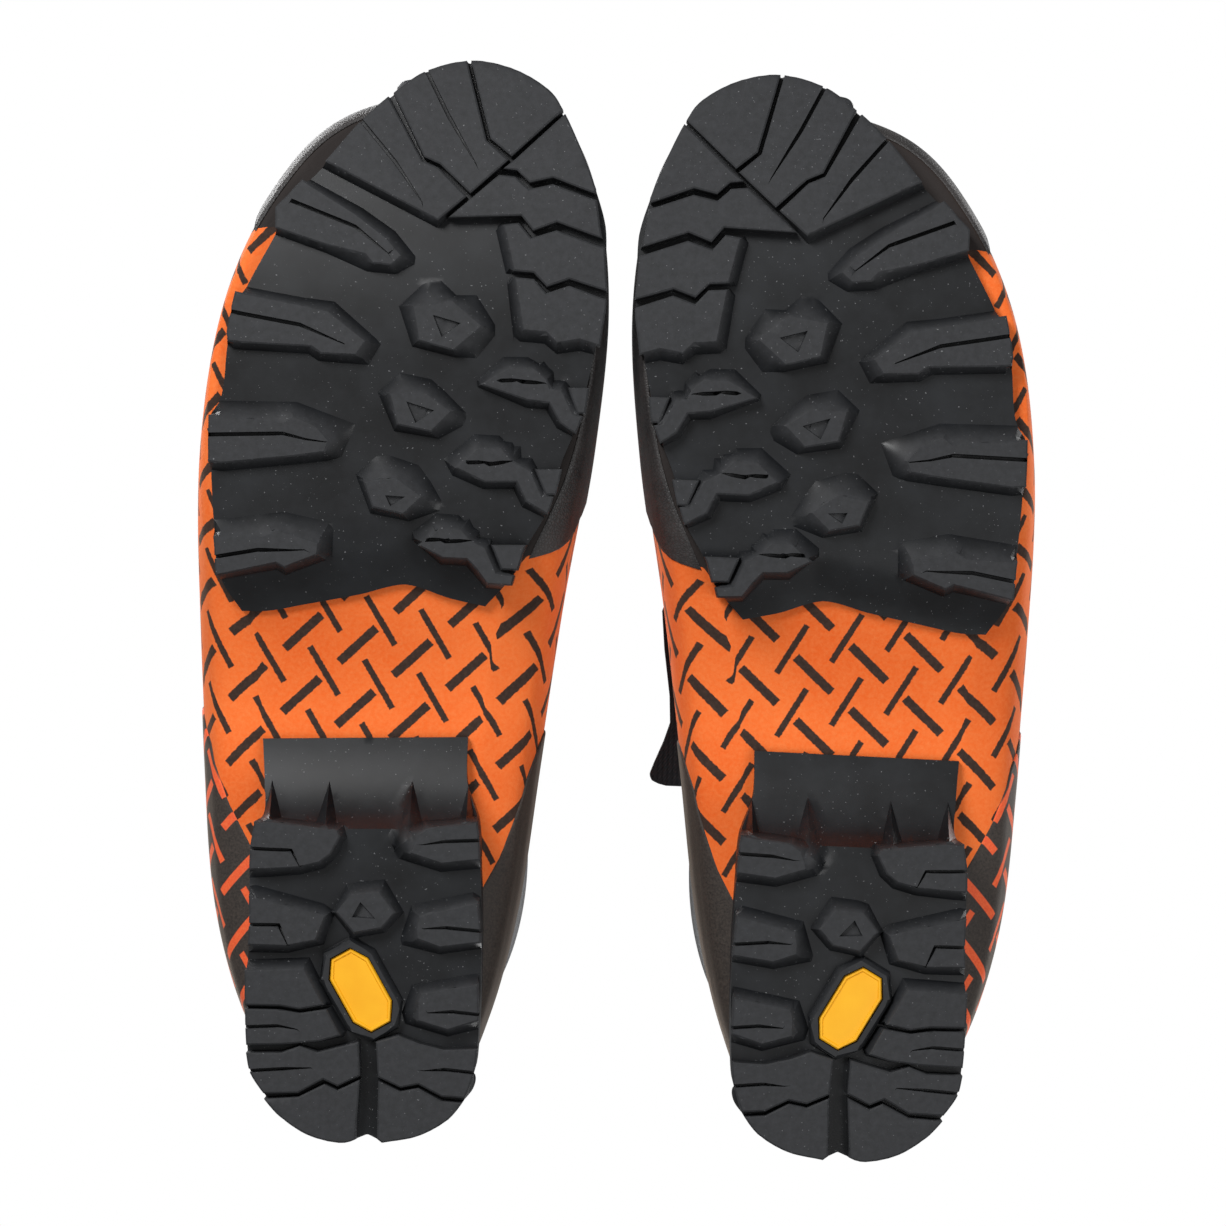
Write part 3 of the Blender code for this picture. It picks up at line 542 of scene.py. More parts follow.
def spring(f):
    # the toe's rise goes with the square of how far past the ball
    past = np.clip((np.asarray(f, float) - under["toeFrom"]) / under["toe"], 0, None)
    return under["toeRise"] * past**2


def floorLine(f):
    # underside of the upper, smoothly up from the ball to the heel
    t = np.clip((under["archEnd"] - np.asarray(f, float)) / under["arch"], 0, 1)
    return under["ball"] + spring(f) + under["heelRise"] * t * t * (3 - 2 * t)


def outline(turn, z):
    # share of the foot's outline and of an oval leg, by height
    turn = np.mod(turn, math.tau)
    half = np.minimum(turn, math.tau - turn)
    medial = turn > math.pi
    table = last["profile"]
    rear, front, spread, leg, legHalf, lean = [glide(z, table[:, 0], column) for column in table.T[1:]]
    foot = np.where(
        medial, glide(half, last["turns"], last["medial"]), glide(half, last["turns"], last["lateral"]),
    )
    oval = np.where(medial, 1, -1) * legHalf * np.clip(np.sin(half), 0, 1) ** 0.85
    m = (1 - leg) * spread * foot + leg * (oval + lean)
    return m, rear + (front - rear) * (1 - np.cos(half)) / 2


def tuckShare(rise):
    # how much of the tuck is left at a rise above the underside
    return glide(np.asarray(rise, float), np.array([0, 3, 9, 18.0]), np.array([1, 0.45, 0.12, 0.0]))


def skin(turn, height, inset=0.0, lift=0.0):
    # a line round the boot at a height that may depend on f, moved inward by inset; near the
    # underside it is also drawn in by the share of the tuck that belongs to its rise
    level = height if callable(height) else lambda f: height + 0.0 * f
    z = np.full_like(turn, 50.0)
    for _ in range(10):
        m, f = outline(turn, z)
        z = level(f)
    aheadM, aheadF = outline(turn + 0.01, z)
    behindM, behindF = outline(turn - 0.01, z)
    runM, runF = aheadM - behindM, aheadF - behindF
    size = np.hypot(runM, runF)
    move = inset + tuckShare(z - floorLine(f) - lift) * glide(f, last["tuckAt"], last["tuck"])
    return np.stack([m + move * runF / size, f - move * runM / size, z], axis=1)


def flatPattern(turn, points):
    # cloth coordinates: the underside's rim at this turn, then outward by the length of cloth
    # from there up; the third number is the rise above the underside
    rim = skin(turn, low(0))
    ahead = skin(turn + 0.01, low(0)) - skin(turn - 0.01, low(0))
    out = np.stack([-ahead[:, 1], ahead[:, 0]], axis=1)
    out = unit(out)
    rise = np.clip(points[:, 2] - floorLine(points[:, 1]), 0, None)
    depth = glide(points[:, 1], last["tuckAt"], last["tuck"])
    nodes = np.array([0, 0.5, 1, 2, 3, 4.5, 6, 9, 13, 18.0])
    length = np.clip(rise - 18, 0, None)
    for a, b in zip(nodes[:-1], nodes[1:]):
        slope = depth * (tuckShare(a) - tuckShare(b)) / (b - a)
        length = length + np.clip(rise - a, 0, b - a) * np.hypot(1, slope)
    return np.column_stack([rim[:, :2] + out * length[:, None], rise])


def low(rise):
    return lambda f: floorLine(f) + rise


# ---- meshes ----
def unit(vectors):
    return vectors / np.linalg.norm(vectors, axis=1)[:, None]


def lengthsAlong(points):
    # how far along the line each of its points is
    return np.concatenate([[0], np.cumsum(np.linalg.norm(np.diff(points, axis=0), axis=1))])


def caps(rows, columns):
    # the two end faces of a tube of rings
    return [tuple(range(columns)), tuple(range((rows - 1) * columns, rows * columns))]


def madeMesh(boot, name, points, faces, finish, attributes=None, sharp=35.0, weld=0.0):
    # points in the boot's own millimetres; doubles merged, faces turned outward
    mesh = bpy.data.meshes.new(f"{boot['name']}_{name}")
    mesh.from_pydata(worldPoints(boot, points).tolist(), [], [tuple(int(i) for i in f) for f in faces])
    for key, numbers in (attributes or {}).items():
        numbers = np.asarray(numbers, np.float32)
        kind = "FLOAT" if numbers.ndim == 1 else "FLOAT_VECTOR"
        slotted = mesh.attributes.new(key, kind, "POINT")
        slotted.data.foreach_set("value" if kind == "FLOAT" else "vector", numbers.ravel())
    work = bmesh.new()
    work.from_mesh(mesh)
    if weld:
        bmesh.ops.remove_doubles(work, verts=work.verts, dist=weld * mm)
    bmesh.ops.recalc_face_normals(work, faces=work.faces)
    work.to_mesh(mesh)
    work.free()
    mesh.shade_smooth()
    mesh.set_sharp_from_angle(angle=math.radians(sharp))
    mesh.materials.append(finish)
    made = bpy.data.objects.new(f"{boot['name']}_{name}", mesh)
    bpy.context.scene.collection.objects.link(made)
    return made


def settle(made, body, slot, *nodes):
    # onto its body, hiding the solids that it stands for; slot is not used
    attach(made, body)
    if nodes:
        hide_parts(*nodes)
    return made


def quadsOf(rows, columns, wrapRows=False, wrapColumns=False):
    # faces of a grid of points, rows by columns
    r = np.arange(rows if wrapRows else rows - 1)
    c = np.arange(columns if wrapColumns else columns - 1)
    a, b = np.meshgrid(r, c, indexing="ij")
    a, b = a.ravel(), b.ravel()
    up, over = (a + 1) % rows, (b + 1) % columns
    return np.stack([a * columns + b, a * columns + over, up * columns + over, up * columns + b], axis=1)


# ---- treads: polygons in (m, f) for the right boot's sole ----
toeBlocks = [
    {"top": [(29.2, 301.8), (41.5, 299.3), (51.8, 292.8), (54.8, 288), (40.5, 275.2), (34.7, 280)]},
    {
        "top": [
            (7.7, 292.8), (16, 298.6), (28.1, 301.6), (33.5, 279.6), (39.6, 274.2), (29, 264.9),
            (20.6, 273), (16.2, 275),
        ],
        "cuts": [[(16.8, 298.9), (22.9, 286.5), (30.6, 273)]],
    },
    {
        "top": [
            (-11.4, 273.8), (-1.5, 285), (6.2, 291.8), (15.6, 274), (20.1, 272), (27.9, 264),
            (19.9, 257.4),
        ],
        "foot": [
            (-13, 272.6), (-1.5, 285), (6.4, 292), (15.8, 274.2), (20.3, 272.2), (28.1, 264.1),
            (19.6, 255.6),
        ],
        "cuts": [[(-1.6, 285.4), (8.1, 273.6), (15.6, 262.4)]],
    },
]
medialBlocks = [
    {
        "top": [
            (55.4, 287), (60, 277), (64, 266), (63.5, 264.8), (52, 269.3), (45.5, 267.9), (42, 271.3),
            (38.3, 271.8), (41.7, 274.5),
        ]
    },
    {
        "top": [
            (37, 270), (41.5, 269.5), (45.3, 266), (52, 267.4), (64, 262.9), (65.6, 252.3), (53, 256.9),
            (46.5, 254.5), (43.2, 258.7), (23, 258.2),
        ]
    },
    {
        "top": [
            (38.2, 256), (42.5, 256.6), (46, 252.4), (53, 254.5), (66.4, 249.6), (67, 237.6),
            (56.5, 241), (50.3, 238.9), (46.6, 242.8), (41, 243.3),
        ],
        "foot": [
            (35.6, 256.6), (42.8, 257.2), (46.1, 253), (53, 255), (66.6, 250), (67.2, 237.3),
            (56.5, 240.6), (50.2, 238.5), (46.4, 242.4), (38.8, 242.8),
        ],
    },
    {
        "top": [
            (41.2, 241.5), (46.7, 241), (50.2, 237), (56.5, 239.1), (67, 235.2), (65.1, 222.2),
            (59.5, 224), (53, 223), (50, 226), (43.6, 226.6),
        ],
        "foot": [
            (38.9, 242), (46.9, 241.4), (50.3, 237.4), (56.5, 239.5), (67.3, 235.6), (65, 219.8),
            (59.4, 221.2), (53, 220.3), (49.6, 223.2), (41, 224),
        ],
    },
    {
        "top": [
            (31.9, 211.6), (36.3, 214.6), (39.8, 216.4), (46.8, 216.5), (50.4, 213.2), (51.3, 210.7),
            (54.6, 210.2), (57.8, 203.4), (60.2, 202.8), (58.3, 197.8), (53.8, 201), (51, 206.4),
            (44.8, 207.2),
        ],
        "foot": [
            (29.4, 211.8), (38.2, 219.6), (45, 219.5), (48, 217.8), (49.4, 218.4), (50.8, 216.6),
            (52.1, 216.6), (52.3, 213), (55.2, 213.2), (61, 206), (60.6, 202.5), (58.6, 196.6),
            (53, 199.6), (49.9, 204.9), (44.5, 205.3),
        ],
        "cuts": [[(37.6, 212.7), (43.4, 212.9)], [(43.4, 212.4), (49.8, 212)]],
    },
    {"top": [(56.3, 210.7), (62, 210.7), (60.9, 203.6), (58.7, 203.6)]},
    {
        "top": [
            (24.7, 188.4), (31, 194.1), (37.8, 194.1), (41, 190.4), (45.9, 187.8), (49.2, 180.5),
            (52.2, 180.4), (50.5, 175.4), (44.4, 179), (41.9, 184.4), (33, 184.4),
        ],
        "foot": [
            (21.4, 191), (29.9, 198), (37, 197.6), (38.6, 196), (40, 196.8), (41.2, 194.6), (43, 194.6),
            (43.2, 191.4), (46.2, 191.2), (50.6, 183), (52.6, 180), (50.3, 174.2), (43.3, 177.6),
            (40.9, 182.6), (32.5, 182.6), (23.8, 186.4),
        ],
        "cuts": [[(28.4, 189.9), (34.2, 190)], [(34.2, 189.4), (40.6, 190.3)]],
    },
    {"top": [(47.1, 188), (54.6, 188), (52.8, 180.9), (50, 180.9)]},
    {
        "top": [
            (14.5, 166.8), (20.4, 171.8), (26.4, 171.5), (29.6, 168.2), (33.3, 166.4), (36.4, 159.3),
            (41.3, 158.6), (40.4, 155.8), (33.6, 156), (30.6, 160.2), (28.1, 162.9), (21.4, 163.2),
        ],
        "foot": [
            (11.2, 169.6), (19.4, 175.9), (25.6, 175.4), (27.2, 173.8), (28.6, 174.4), (29.8, 172),
            (31.4, 172), (31.6, 169.2), (34.6, 169), (38.4, 161.2), (42.2, 158), (41.2, 154.8),
            (33, 154.8), (29.7, 158.9), (27.6, 161.2), (20.5, 161.5),
        ],
        "cuts": [[(17.6, 168.4), (22, 168.5)], [(22, 167.9), (29.2, 168.2)]],
    },
    {"top": [(34.9, 166.9), (44.5, 166.9), (42.1, 159.9), (37.6, 160.1)]},
]
lateralBlocks = [
    {
        "top": [
            (-25.3, 255.2), (-25.2, 261), (-17.6, 268.6), (-3, 259.4), (5.6, 252.8), (10.2, 247.5),
            (7, 244.8), (1.6, 245.4), (-0.4, 247.8), (-11, 250.4),
        ],
        "foot": [
            (-25.9, 253.8), (-25.4, 261), (-17.4, 270), (-1, 261), (8, 254.6), (14.7, 246.2),
            (8, 242.6), (0, 243.4), (-11.5, 248.6),
        ],
        "cuts": [[(-20.8, 262.8), (-3, 255.6), (6.1, 248.2)]],
    },
    {
        "top": [
            (-36.4, 237.6), (-18.3, 234), (-10.5, 232.3), (0.2, 223.8), (-2.8, 219.7), (-12.6, 220.2),
            (-15.4, 222.2), (-33.5, 223.2), (-38.6, 223.7), (-38.8, 226),
        ],
        "foot": [
            (-35, 239.4), (-18, 236.2), (-9, 235), (4, 223.4), (0.5, 217.3), (-13.5, 218.4),
            (-16.5, 220.4), (-38.9, 221.8),
        ],
        "cuts": [[(-37.4, 231.9), (-18.5, 228.3), (-6, 222.9)]],
    },
    {
        "top": [
            (-43.9, 203.3), (-23.2, 201.2), (-20.4, 203.2), (-13.8, 200.2), (-10.1, 196),
            (-11.6, 192.7), (-20.8, 191.5), (-40.3, 189.7), (-44, 190.2),
        ],
        "foot": [
            (-42.4, 207.4), (-19.6, 207), (-3.2, 200.8), (-7.1, 191.5), (-11, 190.5), (-21, 189.4),
            (-40.5, 187.6), (-44, 188.2),
        ],
        "cuts": [[(-43.9, 197.7), (-23.2, 198), (-16.9, 196.4), (-11.2, 195.6)]],
    },
    {
        "top": [
            (-42.5, 169.4), (-28.6, 169.7), (-25.1, 171.5), (-13.1, 167.7), (-13.5, 164.2),
            (-22.8, 160.6), (-25.1, 161.9), (-41.6, 158.4),
        ],
        "foot": [
            (-42.4, 174), (-23.2, 176.3), (-9.3, 173.2), (-9.8, 163.4), (-23, 158.6), (-25.5, 160.1),
            (-41.5, 157.2),
        ],
        "cuts": [[(-42.5, 163.6), (-30.2, 165.6), (-20.8, 165.5), (-17.2, 165.6)]],
    },
]
centreBlocks = [
    {
        "top": [(12.8, 233.6), (24.1, 235.3), (32.7, 227.9), (24.5, 221), (14.5, 223.8)],
        "foot": [
            (8.9, 233.7), (15.9, 240.2), (20.6, 241), (25, 236.8), (30.7, 236.8), (35.8, 228.5),
            (35.8, 225.5), (30.7, 219.2), (24.5, 219.4), (12.6, 222.4),
        ],
        "dent": [(18.6, 231), (26.4, 228.7), (21, 224.8)],
    },
    {
        "top": [(6.3, 209.2), (16.7, 209.5), (24.1, 204.2), (18.2, 198.4), (8.6, 200.4)],
        "foot": [
            (3, 209.7), (9.3, 215.2), (18, 213.3), (22, 209.8), (27.8, 203.8), (27.5, 200.6),
            (20, 196.6), (7.6, 198.8),
        ],
        "dent": [(11.2, 206.9), (19, 204.4), (13.7, 200.9)],
    },
    {
        "top": [(-0.8, 184.6), (8.5, 185.9), (15.9, 180.4), (10.4, 175.4), (1.8, 177.4)],
        "foot": [
            (-3.2, 186.8), (2.6, 191.8), (6, 192.2), (14.5, 189.3), (18, 184.4), (20.8, 179.4),
            (20.4, 176.6), (11.8, 173.6), (0.9, 175.8),
        ],
        "dent": [(5.3, 180.8), (10.9, 180.4), (6.7, 177.7)],
    },
]
forefootTread = {
    "outline": [
        (28.8, 302.1), (41.7, 299.7), (51.8, 293), (55.3, 287.4), (60, 277), (64.3, 266.9), (67.3, 256),
        (67.4, 245),
        (67.3, 235), (65.1, 224.9), (62, 211), (58, 197.2), (54.9, 189.8), (52.6, 181.2), (50.3, 174.9),
        (45.2, 166.4),
        (41.7, 158.9), (33, 149.2), (22.9, 151.5), (10.4, 155.4), (-2.1, 152.7), (-17, 150),
        (-28.7, 148), (-36, 148),
        (-41.5, 157), (-42.9, 167.1), (-44.2, 192.1), (-43.8, 204.6), (-41.9, 207), (-39.2, 224.9),
        (-34.5, 238.5),
        (-25.9, 254.4), (-21.2, 263.8), (-11.8, 273.9), (-1.3, 285.7), (6.5, 292.7), (15.9, 298.9),
    ],
    "blocks": toeBlocks + medialBlocks + lateralBlocks + centreBlocks,
    "shy": 0.6,  # the plate stops this far inside the treads' outer faces
    "depth": 4.5,
    "cutDepth": 2.8,
    "cutWidth": 1.15,
    "creaseM": [-44, -33.3, 12.8, 30, 46],  # behind this line the plate thins toward its rear edge
    "creaseF": [157.5, 159.5, 168.5, 160.5, 161],
    "creaseFall": 0.24,
    "plate": 3.5,
    "rearEdge": 1.4,
}
fins = [  # on the heel's breast: two base corners at the treads, then the apex up the ramp
    [(-29.8, 90.6), (-24.3, 90.6), (-27.4, 100.9)],
    [(-14.8, 88.2), (-8.3, 87.8), (-11.2, 100.6)],
    [(7.6, 81.8), (15.6, 88), (12.3, 100.4)],
    [(25.6, 90), (29.9, 90), (28.2, 100)],
]
heelBlocks = [
    {
        "top": [
            (-31.2, 89.9), (-26, 90.2), (-13, 88.2), (-7.9, 87.6), (-7.1, 85.9), (-9.9, 80.8),
            (-13, 78.5), (-18.8, 77.1), (-31.7, 76.4),
        ],
        "foot": [
            (-31.2, 91.4), (-13, 89.4), (-6.6, 88.8), (-5.6, 85.6), (-8.3, 79.8), (-12, 76.6),
            (-18.5, 74.9), (-31.9, 73.9),
        ],
        "cuts": [[(-31.9, 82.4), (-20.8, 82), (-18.6, 77.6)]],
    },
    {
        "top": [(12.8, 83.3), (14, 86.3), (17, 88.2), (31, 89.9), (31.7, 79.2), (21, 78.1), (12.2, 81)],
        "foot": [(7.5, 81.4), (10, 88), (16, 89.8), (31.2, 91.2), (32, 76.6), (20.5, 75.6), (8, 79.6)],
        "cuts": [[(31.8, 84.7), (22, 84.4), (15.9, 83.5)]],
    },
    {
        "top": [(-32.2, 69.3), (-11, 64), (-14, 56.8), (-22.4, 55.2), (-32.9, 55.6)],
        "foot": [(-32.3, 72.4), (-12, 66.8), (-8.8, 64.5), (-12, 55.4), (-22, 53), (-33.1, 53.2)],
        "cuts": [[(-32.9, 61.3), (-24.3, 61.2), (-21.9, 55.6)]],
    },
    {
        "top": [(13.8, 60), (14.6, 63.8), (31.2, 67.6), (32, 56.2), (20.5, 54.8), (14, 57.2)],
        "foot": [(9.3, 57), (12.4, 66.4), (31.4, 70.4), (32.3, 54.2), (20.3, 52.6), (9.8, 55.2)],
        "cuts": [[(32, 59.4), (22, 60.4), (15.9, 60.1)]],
    },
    {
        "top": [(-33.7, 48.6), (-17.2, 49.2), (-11.7, 38.9), (-18.5, 37.7), (-24, 38.7), (-33.8, 38.9)],
        "foot": [(-33.9, 51.2), (-16, 51.8), (-9.6, 38.6), (-18.5, 37.4), (-24, 38.4), (-33.9, 38.6)],
    },
    {
        "top": [
            (-33.7, 37.8), (-24.5, 37.6), (-18.5, 36.6), (-11, 37.7), (-7.2, 30.4), (-13, 28.8),
            (-22.4, 28), (-33.3, 27.8),
        ],
        "foot": [
            (-33.8, 38.1), (-24.3, 37.9), (-18.5, 36.9), (-9.6, 38.2), (-4.8, 30), (-13, 28.2),
            (-22.4, 27.5), (-33.4, 27.3),
        ],
        "cuts": [[(-33.8, 32.8), (-24.7, 33.1), (-19.2, 32.1)]],
    },
    {
        "top": [(14.2, 39.8), (15, 42.2), (31, 44.8), (31.1, 34.4), (22.7, 31.8), (14.2, 34.4)],
        "foot": [(9.7, 36.5), (12.6, 44.2), (31.2, 47.4), (31.3, 31.8), (22.5, 29.6), (10.6, 33.2)],
        "cuts": [[(31.2, 36.2), (24, 37), (17.1, 36.7)]],
    },
    {
        "top": [
            (-33.4, 25.6), (-23.6, 25.6), (-18.5, 27.4), (-13.5, 25.7), (-2.1, 28.6), (-1.7, 19.2),
            (-8, 16.3), (-12, 18.2), (-19, 14.4), (-28.6, 14.3), (-32.3, 20),
        ],
        "cuts": [[(-33, 20.6), (-22, 21.2), (-15.3, 21.4)]],
    },
    {
        "top": [
            (-28.4, 12.8), (-19, 13.2), (-11.6, 16.8), (-8, 15.1), (-1.8, 18), (-3, 1.6), (-6, 0.5),
            (-15.3, 2.3), (-23.9, 7.7),
        ]
    },
    {
        "top": [
            (2.7, 28.6), (9, 30.4), (14.5, 28.2), (21.5, 26.4), (30.9, 26.6), (30.2, 20.6), (27.3, 13),
            (21, 13.4), (14.5, 16.8), (9.5, 15.9), (3.3, 18.8),
        ],
        "cuts": [[(30.2, 20), (22, 20.9), (16, 20.6)]],
    },
    {
        "top": [
            (3.4, 17.7), (9.5, 14.8), (14.5, 15.7), (21, 12.1), (26.5, 11.7), (22.8, 6.9), (14.2, 2.3),
            (4.4, 0.5), (3, 1.6),
        ]
    },
    {
        "top": [(-8.4, 64.6), (-4.2, 70), (3.8, 70.6), (8.3, 64.6), (4.3, 60.2), (-3.4, 58.8)],
        "foot": [(-9.9, 64.6), (-5.6, 72), (-2.6, 72.9), (5, 73.6), (10.4, 64.4), (5, 58.6), (-4, 57)],
        "dent": [(-1.6, 67.6), (2.6, 62.9), (-4, 63.3)],
    },
]
heelTread = {
    "outline": [
        (-30.6, 112.8), (28, 113.2), (28, 100.3), (31.4, 89.4), (31.9, 79.3), (32.3, 55.8),
        (31.1, 26.2), (30.3, 20.6),
        (27.6, 12.1), (22.9, 6.7), (14.3, 1.9), (4.2, 0), (0.1, 2.1), (-6, 0), (-15.3, 1.9),
        (-23.9, 7.4), (-29, 13.6),
        (-32.6, 19.9), (-33.7, 26.2), (-34, 38.7), (-33.1, 60.5), (-31.6, 88.6), (-29.6, 91.7), (-29.8, 100),
    ],
    "blocks": heelBlocks,
    "shy": 0.3,
    "depth": 5.0,
    "cutDepth": 2.8,
    "cutWidth": 1.05,
}
# the yellow bar: side and end are half the lengths of its straight edges; rings gives how far
# each ring is shrunk, and its height
badge = {
    "at": (-1.6, 42.8), "size": (24.0, 13.0), "side": 7.0, "end": 3.2, "tilt": math.radians(119.0),
    "frame": 2.5, "frameDrop": 0.9,
    "rings": [
        (-0.25, 4.6), (-0.35, 2.6), (-0.75, 2.15), (-1.25, 2.15), (-1.55, 2.55), (-3.25, 2.5),
        (-5.25, 2.48),
    ],
}


def insideOf(points, polygon):
    # even-odd rule, whole arrays
    p = np.asarray(polygon, float)
    q = np.roll(p, -1, axis=0)
    x, y = points[:, :1], points[:, 1:2]
    crosses = (p[:, 1] > y) != (q[:, 1] > y)
    slope = np.where(q[:, 1] == p[:, 1], 1e-9, q[:, 1] - p[:, 1])
    return (crosses & (x < (q[:, 0] - p[:, 0]) * (y - p[:, 1]) / slope + p[:, 0])).sum(axis=1) % 2 == 1


def distanceTo(points, line, closed=True):
    # distance to a polyline, and how far along it (0 to 1) the nearest place is
    p = np.asarray(line, float)
    q = np.roll(p, -1, axis=0) if closed else p[1:]
    p = p if closed else p[:-1]
    run = q - p
    t = np.clip(((points[:, None] - p) * run).sum(axis=2) / (run**2).sum(axis=1), 0, 1)
    away = np.linalg.norm(points[:, None] - (p + t[..., None] * run), axis=2)
    k = away.argmin(axis=1)
    lengths = np.linalg.norm(run, axis=1)
    before = np.concatenate([[0], np.cumsum(lengths)[:-1]])
    rows = np.arange(len(points))
    return away[rows, k], (before[k] + t[rows, k] * lengths[k]) / lengths.sum()


def signedTo(points, polygon):
    away, _ = distanceTo(points, polygon)
    return np.where(insideOf(points, polygon), -away, away)


def drawnIn(polygon, distance):
    # the polygon moved inward (or outward, below 0), corner by corner
    p = np.asarray(polygon, float)
    area = (p[:, 0] * np.roll(p[:, 1], -1) - np.roll(p[:, 0], -1) * p[:, 1]).sum()
    hand = 1 if area > 0 else -1
    before = p - np.roll(p, 1, axis=0)
    after = np.roll(p, -1, axis=0) - p
    before = unit(before)
    after = unit(after)
    middle = before + after
    middle /= np.maximum(np.linalg.norm(middle, axis=1), 1e-6)[:, None]
    reach = distance / np.maximum(0.55, (middle * after).sum(axis=1))
    return p + hand * reach[:, None] * np.stack([-middle[:, 1], middle[:, 0]], axis=1)


def evenly(line, step, closed=True):
    # more points along a polyline, none further apart than step
    p = np.asarray(line, float)
    q = np.roll(p, -1, axis=0) if closed else p[1:]
    made = []
    for a, b in zip(p if closed else p[:-1], q):
        count = max(1, int(math.ceil(np.linalg.norm(b - a) / step)))
        made.append(a + (b - a) * np.arange(count)[:, None] / count)
    if not closed:
        made.append(p[-1:])
    return np.concatenate(made)


def eased(flat, polygon, corner=35.0, reach=4.0):
    # points near the outline moved with it, as its gentle corners become one smooth curve
    p = np.asarray(polygon, float)
    after = np.roll(p, -1, axis=0) - p
    size = np.linalg.norm(after, axis=1)
    way = after / size[:, None]
    before = np.roll(way, 1, axis=0)
    bend = np.degrees(np.arccos(np.clip((way * before).sum(axis=1), -1, 1)))
    mean = (way + before) / np.linalg.norm(way + before, axis=1)[:, None]
    straight, shift = [], []
    for k in range(len(p)):
        n = (k + 1) % len(p)
        out = mean[k] if bend[k] < corner else way[k]
        into = mean[n] if bend[n] < corner else way[k]
        count = max(1, int(math.ceil(size[k])))
        t = np.arange(count)[:, None] / count
        line = p[k] + (p[n] - p[k]) * t
        curve = (1 + 2 * t) * (1 - t) ** 2 * p[k] + t * t * (3 - 2 * t) * p[n]
        curve = curve + size[k] * (t * (1 - t) ** 2 * out - t * t * (1 - t) * into)
        straight.append(line)
        shift.append(curve - line)
    straight, shift = np.concatenate(straight), np.concatenate(shift)
    gap = ((flat[:, None] - straight[None]) ** 2).sum(axis=2)
    share = np.clip(1 - np.sqrt(gap.min(axis=1)) / reach, 0, 1)
    return flat + shift[gap.argmin(axis=1)] * share[:, None]


def ribbon(line, width, tip=0.25):
    # a slit's outline: full width from its start, tapering over its last part
    p = evenly(line, 1.5, closed=False)
    run = np.gradient(p, axis=0)
    run = unit(run)
    share = np.linspace(0, 1, len(p))
    half = width / 2 * np.where(share > 0.55, tip + (1 - tip) * (1 - share) / 0.45, 1.0)
    side = np.stack([-run[:, 1], run[:, 0]], axis=1) * half[:, None]
    return np.concatenate([p + side, (p - side)[::-1]])


def badgeEdge(grow):
    # the badge's long octagon, grown or shrunk, turned by its tilt
    length, width = badge["size"][0] / 2 + grow, badge["size"][1] / 2 + grow
    side, end = badge["side"] + 0.41 * grow, badge["end"] + 0.41 * grow
    x = np.array([length, length, side, -side, -length, -length, -side, side])
    y = np.array([-end, end, width, width, end, -end, -width, -width])
    c, s = math.cos(badge["tilt"]), math.sin(badge["tilt"])
    return np.stack([badge["at"][0] + c * x - s * y, badge["at"][1] + s * x + c * y], axis=1)


toeGrowth = {"about": [65.5, 148.0], "height": 1200.0}  # at this height it would be doubled


